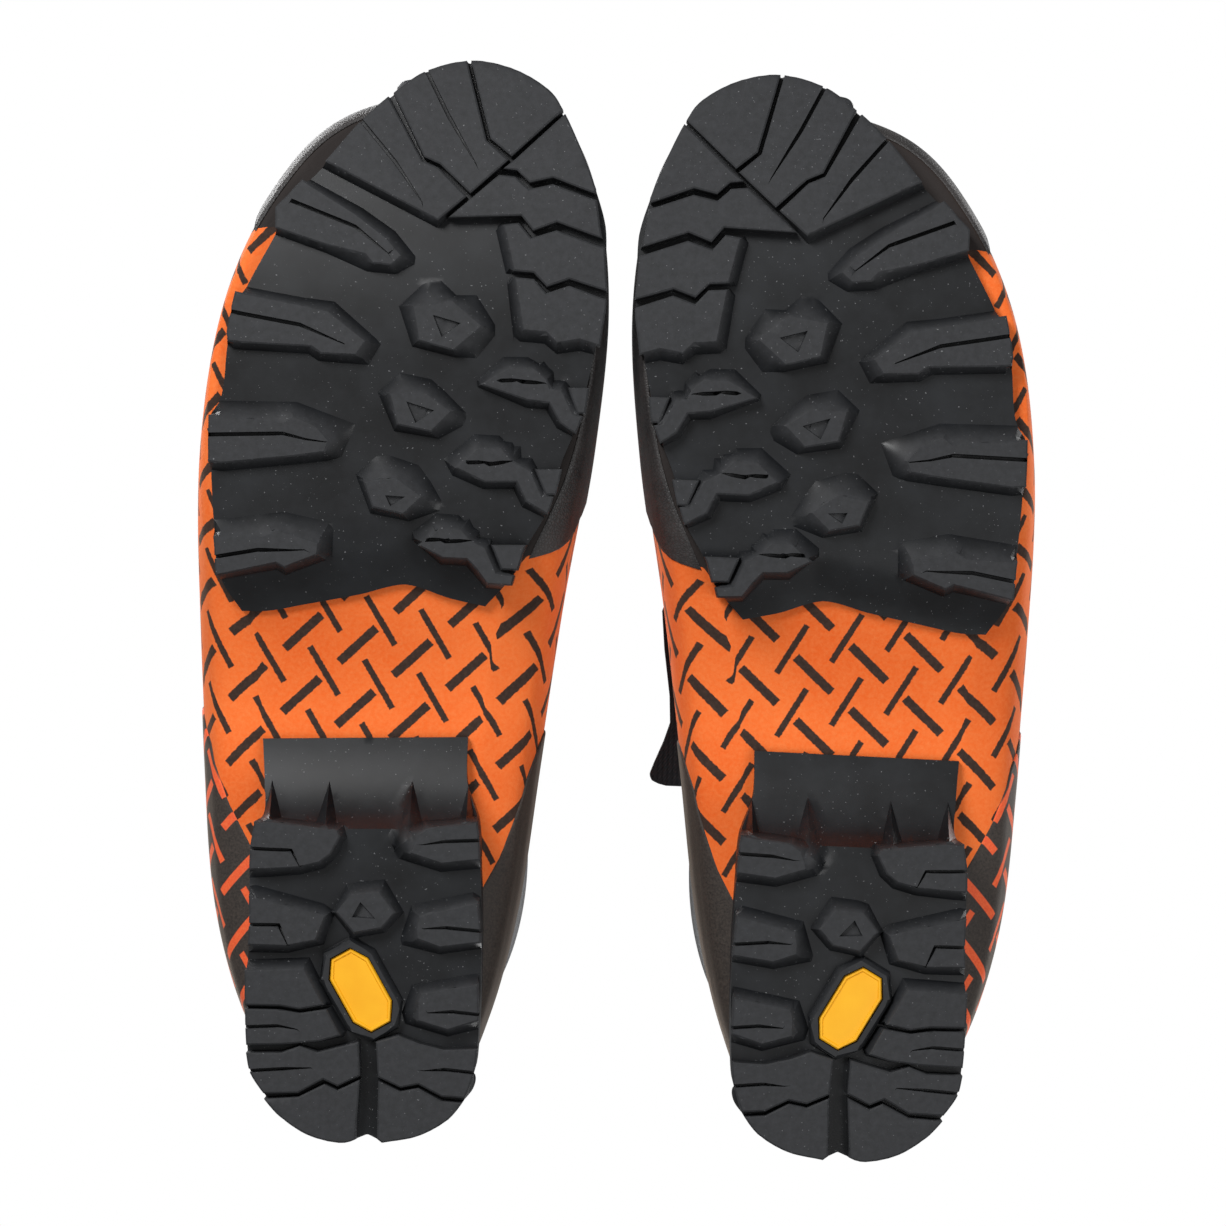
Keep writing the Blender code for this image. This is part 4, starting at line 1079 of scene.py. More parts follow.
def treadUnit(boot, name, unit, floorAt, topAt, aboveAt, finish, pitch=2.4, extra=()):
    # Delaunay triangles between every tread's top edge, chamfer, foot and slits; the height of
    # a point is the groove floor plus a share of the tread depth, by its distance from those
    loops = []
    plate = drawnIn(unit["outline"], unit["shy"])
    loops.append(evenly(plate, 2.0))
    for block in unit["blocks"]:
        top = np.array(block["top"], float)
        block["footLine"] = np.array(block["foot"], float) if "foot" in block else drawnIn(top, -0.3)
        loops += [evenly(top, 1.6), evenly(drawnIn(top, 0.45), 1.6), evenly(block["footLine"], 1.8)]
        for cut in block.get("cuts", []):
            shape = ribbon(cut, unit["cutWidth"])
            loops += [shape, ribbon(cut, unit["cutWidth"] - 0.36, 0.1)]
        if "dent" in block:
            loops += [evenly(block["dent"], 1.2), evenly(drawnIn(block["dent"], 0.3), 1.2)]
    loops += [np.asarray(loop, float) for loop in extra]
    corners = np.array(unit["outline"])
    lowest, highest = corners.min(axis=0), corners.max(axis=0)
    gridM, gridF = np.meshgrid(
        np.arange(lowest[0], highest[0], pitch), np.arange(lowest[1], highest[1], pitch * 0.87),
    )
    gridM = gridM + (np.arange(gridM.shape[0]) % 2)[:, None] * pitch / 2
    fills = np.stack([gridM.ravel(), gridF.ravel()], axis=1)
    regions = [plate] + [np.array(b["top"], float) for b in unit["blocks"]]
    inside = np.any([insideOf(fills, region) for region in regions], axis=0)
    fills = fills[inside]
    points, edges = [], []
    for loop in loops:
        start = len(points)
        points += [tuple(p) for p in loop]
        edges += [(start + k, start + (k + 1) % len(loop)) for k in range(len(loop))]
    points += [tuple(p) for p in fills]
    made = delaunay_2d_cdt([Vector(p) for p in points], edges, [], 0, 1e-4, False)
    flat = np.array([v[:] for v in made[0]])
    faces = np.array([f for f in made[2] if len(f) == 3])
    middle = flat[faces].mean(axis=1)
    kept = np.any([insideOf(middle, region) for region in regions], axis=0)
    a, b, c = (flat[faces[:, k]] for k in range(3))
    area = np.abs((b - a)[:, 0] * (c - a)[:, 1] - (b - a)[:, 1] * (c - a)[:, 0])
    faces = faces[kept & (area > 1e-7)]
    share = np.zeros(len(flat))
    for block in unit["blocks"]:
        top, foot = np.array(block["top"], float), block["footLine"]
        outside = signedTo(flat, top)
        toFoot = -signedTo(flat, foot)
        slope = np.clip(toFoot, 0, None) / np.maximum(
            np.clip(toFoot, 0, None) + np.clip(outside, 0, None), 1e-9,
        )
        h = np.where(outside <= 1e-4, 1.0, np.where(toFoot > 0, slope, 0.0))
        h = h - 0.07 * np.clip(1 + outside / 0.45, 0, 1) * (outside <= 1e-4)
        for cut in block.get("cuts", []):
            away, along = distanceTo(flat, evenly(cut, 1.5, closed=False), closed=False)
            half = unit["cutWidth"] / 2 * np.where(along > 0.55, 0.25 + 0.75 * (1 - along) / 0.45, 1.0)
            sunk = np.clip((half - away) / 0.17, 0, 1)
            h = np.where(outside < 0.05, h - unit["cutDepth"] / unit["depth"] * sunk, h)
        if "dent" in block:
            inward = -signedTo(flat, np.array(block["dent"], float))
            h = h - 0.3 * np.clip(inward / 0.3, 0, 1)
        share = np.maximum(share, h)
    floor = floorAt(flat[:, 0], flat[:, 1])
    z = floor + (topAt(flat[:, 0], flat[:, 1]) - floor) * share
    if "shape" in unit:
        z, share = unit["shape"](flat, z, share)
    # the rim: edges that only one triangle has, carried up to the upper's underside
    ends = np.sort(np.concatenate([faces[:, [0, 1]], faces[:, [1, 2]], faces[:, [2, 0]]]), axis=1)
    single, counts = np.unique(ends, axis=0, return_counts=True)
    rim = single[counts == 1]
    count = len(flat)
    above = aboveAt(flat[:, 0], flat[:, 1])
    flat = eased(flat, unit["outline"])
    # the curved-up toe is a little longer and wider than its plan
    growth = topAt(flat[:, 0], flat[:, 1]) / toeGrowth["height"]
    flat = flat + (flat - toeGrowth["about"]) * growth[:, None]
    solid = np.concatenate([np.column_stack([flat, z]), np.column_stack([flat, above])])
    sides = np.stack([rim[:, 0], rim[:, 1], rim[:, 1] + count, rim[:, 0] + count], axis=1)
    allFaces = [tuple(f) for f in faces] + [tuple(f) for f in faces + count] + [tuple(f) for f in sides]
    used = np.unique(np.concatenate([faces.ravel(), faces.ravel() + count, sides.ravel()]))
    renumber = np.full(len(solid), -1)
    renumber[used] = np.arange(len(used))
    allFaces = [tuple(renumber[list(f)]) for f in allFaces]
    # the share is also the rubber's colour: the lower, the darker, painted shade down the walls and in the
    # groove floors
    marks = np.concatenate([share, np.zeros(count)])[used]
    made = madeMesh(boot, name, solid[used], allFaces, finish, {"tread": marks}, sharp=28.0)
    print(f"{boot['name']} {name}: {len(allFaces)} faces")
    return made


def plateFloor(m, f):
    # forefoot groove floor: under the upper by the plate's thickness; behind the crease it
    # slopes up to a thin rear edge
    treads = forefootTread
    behind = np.clip(np.interp(m, treads["creaseM"], treads["creaseF"]) - f, 0, None)
    thinned = -treads["plate"] + treads["creaseFall"] * behind
    return floorLine(f) + np.minimum(thinned, -treads["rearEdge"])


breast = {"from": 88.5, "length": 24.5, "rubber": 2.2, "straight": 0.3}


def breastFloor(m, f):
    # heel groove floor: level to the breast, then a hollow ramp to the arch
    t = np.clip((f - breast["from"]) / breast["length"], 0, 1)
    hollow = np.sqrt(np.clip(1 - (1 - t) ** 2, 0, 1))
    depth = heelTread["depth"]
    climb = breast["straight"] * t + (1 - breast["straight"]) * hollow
    return depth + (floorLine(f) - breast["rubber"] - depth) * climb


def heelShape(flat, z, share):
    # the fins on the breast: crest from the treads' level down to the ramp, sides falling
    # straight to it; then the badge's frame and its well
    for left, right, apex in fins:
        base = (np.array(left) + np.array(right)) / 2
        axis = np.array(apex) - base
        reach = np.linalg.norm(np.array(right) - np.array(left)) / 2
        along = ((flat - base) @ axis) / (axis @ axis)
        side = np.abs((flat - base) @ np.array([axis[1], -axis[0]])) / np.linalg.norm(axis)
        width = reach * np.clip(1 - along, 0.02, 1)
        ridge = np.clip(1.25 * (1 - side / width), 0, 1) * (along < 1) * (along > -0.2)
        crest = 0.6 + (float(breastFloor(0, apex[1])) - 0.6) * np.clip(along, 0, 1)
        z = np.where(ridge > 0, z + (np.minimum(z, crest) - z) * ridge, z)
    away = signedTo(flat, badgeEdge(0.0))
    frameWide = badge["frame"]
    onFrame = np.clip((frameWide - away) / 0.5, 0, 1) * np.clip((away + 0.5) / 0.25, 0, 1)
    z = z + (np.minimum(z, badge["frameDrop"] + 0.7) - z) * onFrame
    share = np.maximum(share, 0.55 * onFrame)
    inWell = np.clip((-away - 0.05) / 0.2, 0, 1)
    z = z + (heelTread["depth"] - z) * inWell
    return z, share * (1 - inWell)


heelTread["shape"] = heelShape


def outsoles(boot):
    made = treadUnit(
        boot, "forefootTread", forefootTread, plateFloor,
        lambda m, f: spring(f), lambda m, f: floorLine(f) - 0.3, finishes["sole"],
    )
    settle(made, "boots_lower", "outsole_rubber", namedFor(boot, "forefoot_outsole"))
    extra = [badgeEdge(grow) for grow in (-0.5, -0.25, -0.05, 0.0, 1.0, badge["frame"] - 0.5, badge["frame"])]
    for left, right, apex in fins:
        base = (np.array(left) + np.array(right)) / 2
        extra += [
            evenly([left, right, apex], 1.2),
            evenly([base, np.array(apex) - 0.02, base + (0.01, 0)], 1.2),
        ]
    made = treadUnit(
        boot, "heelTread", heelTread, breastFloor,
        lambda m, f: np.zeros_like(f), lambda m, f: floorLine(f) - 0.3, finishes["sole"], extra=extra,
    )
    settle(made, "boots_lower", "outsole_rubber", namedFor(boot, "heel_outsole"))
    # the yellow bar in its frame: an outline drawn in ring by ring, crowned a little
    rings = [np.column_stack([badgeEdge(grow), np.full(8, z)]) for grow, z in badge["rings"]]
    grid = np.concatenate(rings)
    faces = list(quadsOf(len(rings), 8, wrapColumns=True)) + caps(len(rings), 8)
    made = madeMesh(boot, "heelBadge", grid, faces, finishes["yellow"], sharp=20)
    settle(made, "boots_lower", "inlay_yellow", namedFor(boot, "heel_inlay"))


around = np.arange(240) * math.tau / 240


def spaced(length, step, edge):
    # places from 0 to length, closer together within edge of both ends
    inner = np.linspace(edge, length - edge, max(2, int((length - 2 * edge) / step) + 1))
    start = edge * np.array([0, 0.12, 0.35, 0.65])
    return np.concatenate([start, inner, length - start[::-1]])


def rounding(away, edge):
    # 0 at an edge to 1 inside it, as a quarter circle
    return np.sqrt(1 - (1 - np.clip(away / edge, 0, 1)) ** 2)


def shellOf(boot, name, outer, inner, closed, finish, plane=None, sharp=50):
    # a closed skin from two grids of points, rows by columns by 3; closed goes all the way round
    outer, inner = np.asarray(outer), np.asarray(inner)
    rows, columns = outer.shape[:2]
    stack = np.concatenate([outer, inner[::-1]])
    faces = list(quadsOf(2 * rows, columns, wrapRows=True, wrapColumns=closed))
    if not closed:
        r = np.arange(rows - 1)
        for c in (0, columns - 1):
            mate = 2 * rows - 1 - r
            ends = np.stack([r, r + 1, mate - 1, mate], axis=1) * columns + c
            faces += [tuple(f) for f in ends]
    if plane is None:
        # mm along the middle row, and mm up each column
        along = np.zeros((rows, columns))
        middle = outer[rows // 2]
        along[:, 1:] = np.cumsum(np.linalg.norm(np.diff(middle, axis=0), axis=1))
        up = np.zeros((rows, columns))
        up[1:] = np.cumsum(np.linalg.norm(np.diff(outer, axis=0), axis=2), axis=0)
        plane = np.stack([along, up, np.zeros_like(up)], axis=2)
    marks = np.concatenate([plane, plane[::-1]]).reshape(-1, 3)
    return madeMesh(boot, name, stack.reshape(-1, 3), faces, finish, {"plane": marks}, sharp)


def sock(boot, name, rings, inner, finish, sharp=60):
    # outer lines from the underside up, then inner ones down, each end closed toward its own
    # middle line so that the floor of the sock is part of the same skin
    def towardMiddle(ring, share):
        mate = np.concatenate([ring[:1], ring[:0:-1]])
        middle = (ring + mate) / 2
        return middle + (ring - middle) * share

    shares = (0.0, 0.35, 0.65, 0.85, 0.96)
    stack = [towardMiddle(rings[0], s) for s in shares] + list(rings) + list(inner)
    stack += [towardMiddle(inner[-1], s) for s in reversed(shares)]
    marks = [np.column_stack([ring[:, :2], np.zeros(len(ring))]) for ring in stack]
    for k in range(len(shares), len(stack) - len(shares)):
        marks[k] = flatPattern(around, stack[k])
    faces = quadsOf(len(stack), len(rings[0]), wrapColumns=True)
    marks = {"plane": np.concatenate(marks)}
    return madeMesh(boot, name, np.concatenate(stack), faces, finish, marks, sharp, weld=0.02)


wrapping = {"wall": 2.4, "top": 66.0}


def printedShell(boot):
    top, wall = wrapping["top"], wrapping["wall"]
    rises = [0.0, 0.4, 1.0, 2.0, 3.0, 4.2, 5.6, 7.5, 10.5, 14.0, 18.0]
    outer = [skin(around, low(r), 0.5 * max(0, 1 - r) ** 2) for r in rises]
    outer += [skin(around, z) for z in np.arange(43, top - 1, 3)]
    outer += [skin(around, top - 1), skin(around, top - 0.3, 0.35), skin(around, top, 1.1)]
    inner = [skin(around, top - 0.4, 2.1)] + [skin(around, z, wall) for z in (top - 3, 56.0, 48.0)]
    inner += [skin(around, low(r), wall, wall) for r in (18.0, 10.5, 5.0, 2.6)]
    made = sock(boot, "printedWrap", outer, inner, finishes["print"])
    settle(made, "boots_lower", "wrap_orange", namedFor(boot, "lower_wrap"))


# ---- rubber rand round the toe, stiff heel counter ----
def turnAt(f, medial):
    # where round the outline a distance forward lies, on the plan at mid height
    half = np.arccos(np.clip(1 - 2 * (np.asarray(f, float) - 5) / 291, -1, 1))
    return math.tau - half if medial else half


def bandPatch(boot, name, start, stop, rises, top, near, wall, finish, edge=0.9, fine=1.6):
    # a thin shell over the wrap: start and stop give f at each rise, top its upper height;
    # its outer face falls away to every edge along a quarter circle
    share = spaced(1.0, 1 / int(300 / fine), 0.006)
    outer, inner, marks = [], [], []
    for up in spaced(1.0, 1 / 26, 0.02):
        guess = up * (top - 14)
        turn = start(guess) + (stop(guess) - start(guess)) * share
        level = lambda f, up=up: floorLine(f) + rises + up * (top - rises - floorLine(f))
        base = skin(turn, level, -near)
        lengths = lengthsAlong(base)
        away = np.minimum(lengths, lengths[-1] - lengths)
        height = top - rises - floorLine(base[:, 1])
        away = np.minimum(away, np.minimum(up, 1 - up) * height)
        swell = near + 0.2 + (wall - 0.2) * rounding(away, edge)
        outer.append(skin(turn, level, -swell))
        inner.append(base)
        marks.append(flatPattern(turn, outer[-1]))
    return shellOf(boot, name, outer, inner, False, finish, np.array(marks))


rand = {
    "near": 0.1, "wall": 0.9, "top": 47.5, "low": 0.15,
    "rise": [0, 3, 8, 14, 25, 40], "lateralF": [256.5, 259, 264, 268, 271, 273],
    "medialF": [161.5, 165, 169.5, 174.5, 179, 182],
}
counter = {
    "near": 0.05, "wall": 0.5, "top": 63.5, "low": 0.15,
    "rise": [0, 2.5, 5, 9, 14, 20, 42], "lateralF": [80, 91, 101, 111, 117, 121, 126],
    "medialF": [64, 75, 88, 101, 110, 114, 118],
}


def rands(boot):
    def along(settings, key, medial):
        return lambda rise: turnAt(np.interp(rise, settings["rise"], settings[key]), medial)

    made = bandPatch(
        boot, "toeRand", along(rand, "lateralF", False), along(rand, "medialF", True),
        rand["low"], rand["top"], rand["near"], rand["wall"], finishes["rand"],
    )
    settle(made, "boots_lower", "rand_rubber", namedFor(boot, "toe_rand"))
    made = bandPatch(
        boot, "heelCounter", lambda rise: along(counter, "medialF", True)(rise) - math.tau,
        along(counter, "lateralF", False),
        counter["low"], counter["top"], counter["near"], counter["wall"], finishes["counter"],
    )
    settle(made, "boots_lower", "dark_fabric", namedFor(boot, "heel_counter"))


# ---- crampon welts: a ledge with a groove along its rim ----
welt = {"reach": 4.0, "height": 5.5, "near": 1.5}


def welts(boot):
    # cross-section as (reach share, height share): rounded lip, shallow groove, back edge
    shape = np.array([
        (0, 0.0), (0.5, 0.0), (0.85, 0.04), (0.97, 0.14), (1, 0.28), (0.93, 0.42), (0.9, 0.5), (0.93, 0.58),
        (1, 0.72), (0.97, 0.88), (0.85, 0.97), (0.6, 1.0), (0.25, 1.0), (0.15, 0.93), (0, 0.93),
    ])
    for name, half in (("toe_welt", 10.0), ("heel_welt", 25.2)):
        toe = name == "toe_welt"
        middle = 180.0 if toe else 0.0
        turn = np.radians(middle + np.linspace(-half, half, 121))
        edge = skin(turn, low(9.0), -welt["near"])
        base = float(floorLine(edge[:, 1] + (4.5 if toe else 0)).max()) + 0.5
        rings = []
        for out, up in shape:
            fall = rounding(np.minimum(np.arange(121), np.arange(120, -1, -1)), 9)
            line = skin(turn, low(9.0), -welt["near"] - welt["reach"] * out * (0.3 + 0.7 * fall))
            line[:, 2] = base + welt["height"] * up
            rings.append(line)
        rings = np.array(rings)
        count = rings.shape[1]
        faces = list(quadsOf(len(shape), count, wrapRows=True))
        faces += [tuple(np.arange(len(shape)) * count), tuple(np.arange(len(shape)) * count + count - 1)]
        made = madeMesh(
            boot, name.replace("_w", "W"), rings.reshape(-1, 3), faces, finishes["plastic"], sharp=38,
        )
        settle(made, "boots_lower", "welt_plastic", namedFor(boot, name))


# ---- upper shell, gaiter cuff and the bellows between them ----
cuffGap = {"beside": 3.0, "front": 0.26, "rear": 0.20}  # between lower and cuff: mm, then its slopes


def cuffLine(f):
    ahead = f - ankle["f"]
    return ankle["z"] + cuffGap["beside"] + np.where(
        ahead > 0, cuffGap["front"] * ahead, -cuffGap["rear"] * ahead,
    )


def cuffLevel(share):
    return lambda f: cuffLine(f) + share * (collarTop - cuffLine(f))


def ringBand(boot, name, heights, outInset, inInset, finish, swell=None, sharp=60):
    # a fabric band all the way round: heights are numbers or functions of f, swell(turn, k)
    # moves the outer face, edges rounded
    outer, inner, marks = [], [], []
    for k, height in enumerate(heights):
        move = swell(around, k / (len(heights) - 1)) if swell else 0.0
        nearEdge = 0.45 if k in (0, len(heights) - 1) else 0.0
        ring = skin(around, height, outInset + nearEdge - move)
        outer.append(ring)
        inner.append(skin(around, height, inInset))
        lengths = np.linalg.norm(np.roll(ring, -1, axis=0) - ring, axis=1)
        along = np.concatenate([[0], np.cumsum(lengths)[:-1]])
        marks.append(np.column_stack([along, ring[:, 2], ring[:, 1]]))
    return shellOf(boot, name, outer, inner, True, finish, np.array(marks), sharp)


def waves(turn, height, seed, size):
    # slow ripples: a few sine waves whose phases come from a seeded draw
    draw = np.random.default_rng(seed)
    total = 0.0
    for _ in range(5):
        a, b = draw.integers(2, 9), draw.uniform(2, 9)
        total = total + np.sin(a * turn + b * height * 3 + draw.uniform(0, 6.28)) / a
    return size * total


def uppers(boot):
    front = lambda turn: np.clip(-np.cos(turn), 0, 1)

    def vampSwell(turn, up):
        # creases across the instep, deepest in front, and a taped seam a third of the way up
        crease = np.sin(up * 15 + 0.6 * np.sin(3 * turn)) * front(turn) ** 2 * 0.55
        seam = 0.3 * np.exp(-(((up - 0.33) / 0.035) ** 2))
        return crease * np.sin(math.pi * up) + seam + waves(turn, up, 3, 0.22) * np.sin(math.pi * up)

    made = ringBand(
        boot, "gaiterVamp", [66.3 + 34.7 * t for t in spaced(1, 1 / 30, 0.03)], 0.0, 1.8,
        finishes["ripstop"], vampSwell,
    )
    settle(made, "boots_lower", "dark_fabric", namedFor(boot, "vamp"))

    def cuffSwell(turn, up):
        fold = np.sin(up * 26 + 1.2 * np.sin(2 * turn)) * 0.45 * np.exp(-(((up - 0.16) / 0.16) ** 2))
        panel = 0.35 * (1 / (1 + np.exp(-(np.abs(np.mod(turn, math.tau) - math.pi) - 1.05) / 0.012)))
        band = 0.5 / (1 + np.exp(-(up - 0.93) / 0.004))
        return fold + panel + band + waves(turn, up, 8, 0.35) * np.sin(math.pi * up)

    heights = [cuffLevel(t) for t in spaced(1, 1 / 70, 0.01)]
    made = ringBand(boot, "gaiterCuff", heights, 0.0, 1.8, finishes["softshell"], cuffSwell)
    settle(made, boot["cuff"], "gaiter_fabric", namedFor(boot, "gaiter_cuff"))

    def pleats(turn, up):
        return -0.75 * (1 - np.cos(up * math.tau * 2.5)) / 2 * np.sin(math.pi * up) ** 0.5

    level = lambda t: (lambda f: 101.2 + t * (cuffLine(f) - 0.3 - 101.2))
    made = ringBand(
        boot, "ankleBellows", [level(t) for t in np.linspace(0, 1, 26)], 0.35, 1.7, finishes["ripstop"],
        pleats,
    )
    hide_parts(namedFor(boot, "ankle_bellows"))
    low_, high = worldPoints(boot, [(0, ankle["f"], 101.2), (0, ankle["f"], 104.2)])
    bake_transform(made)


# ---- inner boot: quilted cuff, tongue, foot part, collar ----
def quilt(height):
    # stitched channels: shallow rows every 18 mm up, pillowed between
    return 0.8 * np.abs(np.sin(math.pi * height / 18.0)) ** 0.5


# the cuff's faces, half the tongue's width and the seam beside it, and the puff of the quilting
bootie = {"near": 7.2, "wall": 5.0, "half": math.radians(17), "seam": math.radians(1.2), "pinch": 1.7}
roll = {"inset": -0.8, "width": 14.2, "foot": 240.45, "height": 5.0, "pucker": 0.18}


def innerBoots(boot):
    near, wall, half, seam = (bootie[key] for key in ("near", "wall", "half", "seam"))
    for shown, name, first, last_, count in (
        ("bootieCuff", "bootie_cuff", math.pi + half, 3 * math.pi - half, 220),
        ("innerTongue", "tongue", math.pi - half + seam, math.pi + half - seam, 40),
    ):
        share = spaced(1.0, 1 / count, 0.012 if count > 100 else 0.04)
        turn = first + (last_ - first) * share
        outer, inner, marks = [], [], []
        rows = spaced(1, 1 / 60, 0.012)
        for up in rows:
            base = skin(turn, cuffLevel(up), near)
            lengths = lengthsAlong(base)
            away = np.minimum(np.minimum(lengths, lengths[-1] - lengths), min(up, 1 - up) * 120)
            puff = quilt(base[:, 2]) * rounding(away, 3.0)
            pinch = bootie["pinch"] * (1 - rounding(away, 2.2))
            outer.append(skin(turn, cuffLevel(up), near + pinch + 0.8 - puff))
            inner.append(skin(turn, cuffLevel(up), near + wall - pinch + puff * 0.6 - 0.5))
            marks.append(np.column_stack([lengths, base[:, 2], np.zeros(len(turn))]))
        made = shellOf(boot, shown, outer, inner, False, finishes["liner"], np.array(marks), 60)
        settle(made, boot["cuff"], "liner_fabric", namedFor(boot, name))
    # the foot part, from just inside the wrap up to the ankle
    rings = [skin(around, low(r + 7.9), 3.3, r + 3) for r in (0.0, 2.0, 6.0, 12.0)]
    rings += [
        skin(around, z, 3.3) for z in (50, 58, 66, 74, 82, 90, 96)
    ] + [skin(around, 99.5, 3.5), skin(around, 101, 4.6)]
    inner = [skin(around, 101, 7.0)] + [skin(around, z, 8.3) for z in (99, 92, 84, 75, 66, 57, 50)]
    inner += [skin(around, low(r + 11.9), 8.3, r + 6) for r in (12.0, 6.0, 2.0, 0.0)]
    made = sock(boot, "innerFoot", rings, inner, finishes["liner"])
    settle(made, "boots_lower", "liner_fabric", namedFor(boot, "bootie_lower"))
    # the collar: a padded roll, its section a rounded arch from outside to inside
    bend = np.linspace(0, math.pi, 15)
    across, up = (1 - np.cos(bend)) / 2, np.sin(bend) ** 0.8
    rows, marks = [], []
    for k, (a, b) in enumerate(zip(np.concatenate([across, [0.9, 0.1]]), np.concatenate([up, [0.0, 0.0]]))):
        pucker = roll["pucker"] * np.sin(around * 90) * (0.15 < b < 0.6)
        ring = skin(around, collarTop, roll["inset"] + a * roll["width"])
        ring[:, 2] = roll["foot"] + roll["height"] * b + pucker
        rows.append(ring)
        marks.append(np.column_stack([around * 40, np.full(len(around), k * 1.3), np.zeros(len(around))]))
    rows = np.array(rows)
    faces = quadsOf(len(rows), len(around), wrapRows=True, wrapColumns=True)
    made = madeMesh(
        boot, "collar", rows.reshape(-1, 3), faces, finishes["softshell"],
        {"plane": np.array(marks).reshape(-1, 3)}, 60,
    )
    settle(made, boot["cuff"], "gaiter_fabric", namedFor(boot, "collar_binding"))


# ---- webbing ----
def stitches(away, length):
    # how far the thread is sunk, by distance from the selvedge and along the strip
    return np.exp(-(((away - 2.0) / 0.35) ** 2)) * (0.5 + 0.5 * np.sin(length * math.tau / 2.6))


def webbingStrip(boot, name, centre, side, up, width, wall, finish, stitch=True, ends=True):
    # a flat woven strip along centre: side is the unit across it, up the unit out of its face;
    # rounded selvedges, a line of sunk stitches near each edge
    share = spaced(width, width / 18, 0.7)
    away = np.minimum(share, width - share)
    length = lengthsAlong(centre)
    end = rounding(np.minimum(length, length[-1] - length), 0.8) if ends else np.ones_like(length)
    thick = wall / 2 * (0.35 + 0.65 * rounding(away, 0.7)[None, :] * end[:, None])
    if stitch:
        thick = thick - 0.22 * stitches(away[None, :], length[:, None])
    places = centre[:, None, :] + side[:, None, :] * (share - width / 2)[None, :, None]
    top = places + up[:, None, :] * thick[..., None]
    bottom = places - up[:, None, :] * thick[..., None]
    plane = np.stack(np.broadcast_arrays(length[:, None], share[None, :], 0.0), axis=2)
    return shellOf(boot, name, top, bottom, False, finish, plane, 45)


strap = {"from": 84, "to": 268, "middle": 80, "climb": 0.09, "standOff": 2.2, "width": 15.8, "wall": 1.5}


def straps(boot):
    # over the instep, climbing toward the toes
    turn = np.radians(np.linspace(strap["from"], strap["to"], 150))
    level = lambda f: strap["middle"] + strap["climb"] * (f - 90)
    off = -strap["standOff"]
    centre = skin(turn, level, off)
    ahead = np.gradient(centre, axis=0)
    ahead = unit(ahead)
    side = skin(turn, lambda f: level(f) + 7.5, off) - skin(turn, lambda f: level(f) - 7.5, off)
    side -= ahead * (side * ahead).sum(axis=1)[:, None]
    side = unit(side)
    up = np.cross(ahead, side)
    made = webbingStrip(
        boot, "instepStrap", centre, side, up, strap["width"], strap["wall"], finishes["webbing"],
    )
    settle(made, "boots_lower", "strap_webbing", namedFor(boot, "instep_strap"))


pullLoopSize = {"height": 34.0, "depth": 10.0, "width": 18.0, "wall": 1.8, "middle": 215.0}


def pullLoops(boot):
    size = pullLoopSize
    rear = min(float(outline(np.array([0.0]), np.array([size["middle"] + k * 17.0]))[1][0]) for k in (-1, 1))
    middleF = rear - 0.4 - size["depth"] / 2
    turn = np.linspace(0, math.tau, 121)[:-1]
    a, b = size["depth"] / 2 - 0.9, size["height"] / 2 - 0.9
    f = middleF + a * np.sign(np.cos(turn)) * np.abs(np.cos(turn)) ** 0.55
    z = size["middle"] + b * np.sign(np.sin(turn)) * np.abs(np.sin(turn)) ** 0.55
    line = np.column_stack([np.zeros_like(f), f, z])
    ahead = np.roll(line, -1, axis=0) - np.roll(line, 1, axis=0)
    ahead = unit(ahead)
    up = np.cross(ahead, [1.0, 0, 0])
    share = spaced(size["width"], 1.0, 0.7)
    away = np.minimum(share, size["width"] - share)
    lengths = lengthsAlong(line)
    thick = 0.9 * (0.35 + 0.65 * rounding(away, 0.7))[:, None]
    thick = thick - 0.2 * stitches(away[:, None], lengths[None])
    places = line[None] + np.array([1.0, 0, 0]) * (share - size["width"] / 2)[:, None, None]
    outer, inner = places + up[None] * thick[..., None], places - up[None] * thick[..., None]
    plane = np.stack(np.broadcast_arrays(lengths[None, :], share[:, None], 0.0), axis=2)
    made = shellOf(boot, "pullLoop", outer, inner, True, finishes["webbing"], plane, 45)
    settle(made, namedFor(boot, "pull_loop"), "strap_webbing", namedFor(boot, "pull_loop"))


flap = {
    "height": 96.0, "standOff": 4.0, "wall": 1.8, "tilt": {"right": 80.0, "left": -8.0},
    "edge": [
        (44, 157.5), (50, 157.3), (53.2, 155.6), (54.8, 151.5), (53.6, 140), (51.4, 126), (50.9, 118),
        (52.6, 112.5),
        (55.2, 106), (56.4, 102.6), (56.2, 100.4), (54.6, 99.1), (52, 98.9), (46, 98.9),
    ],
}


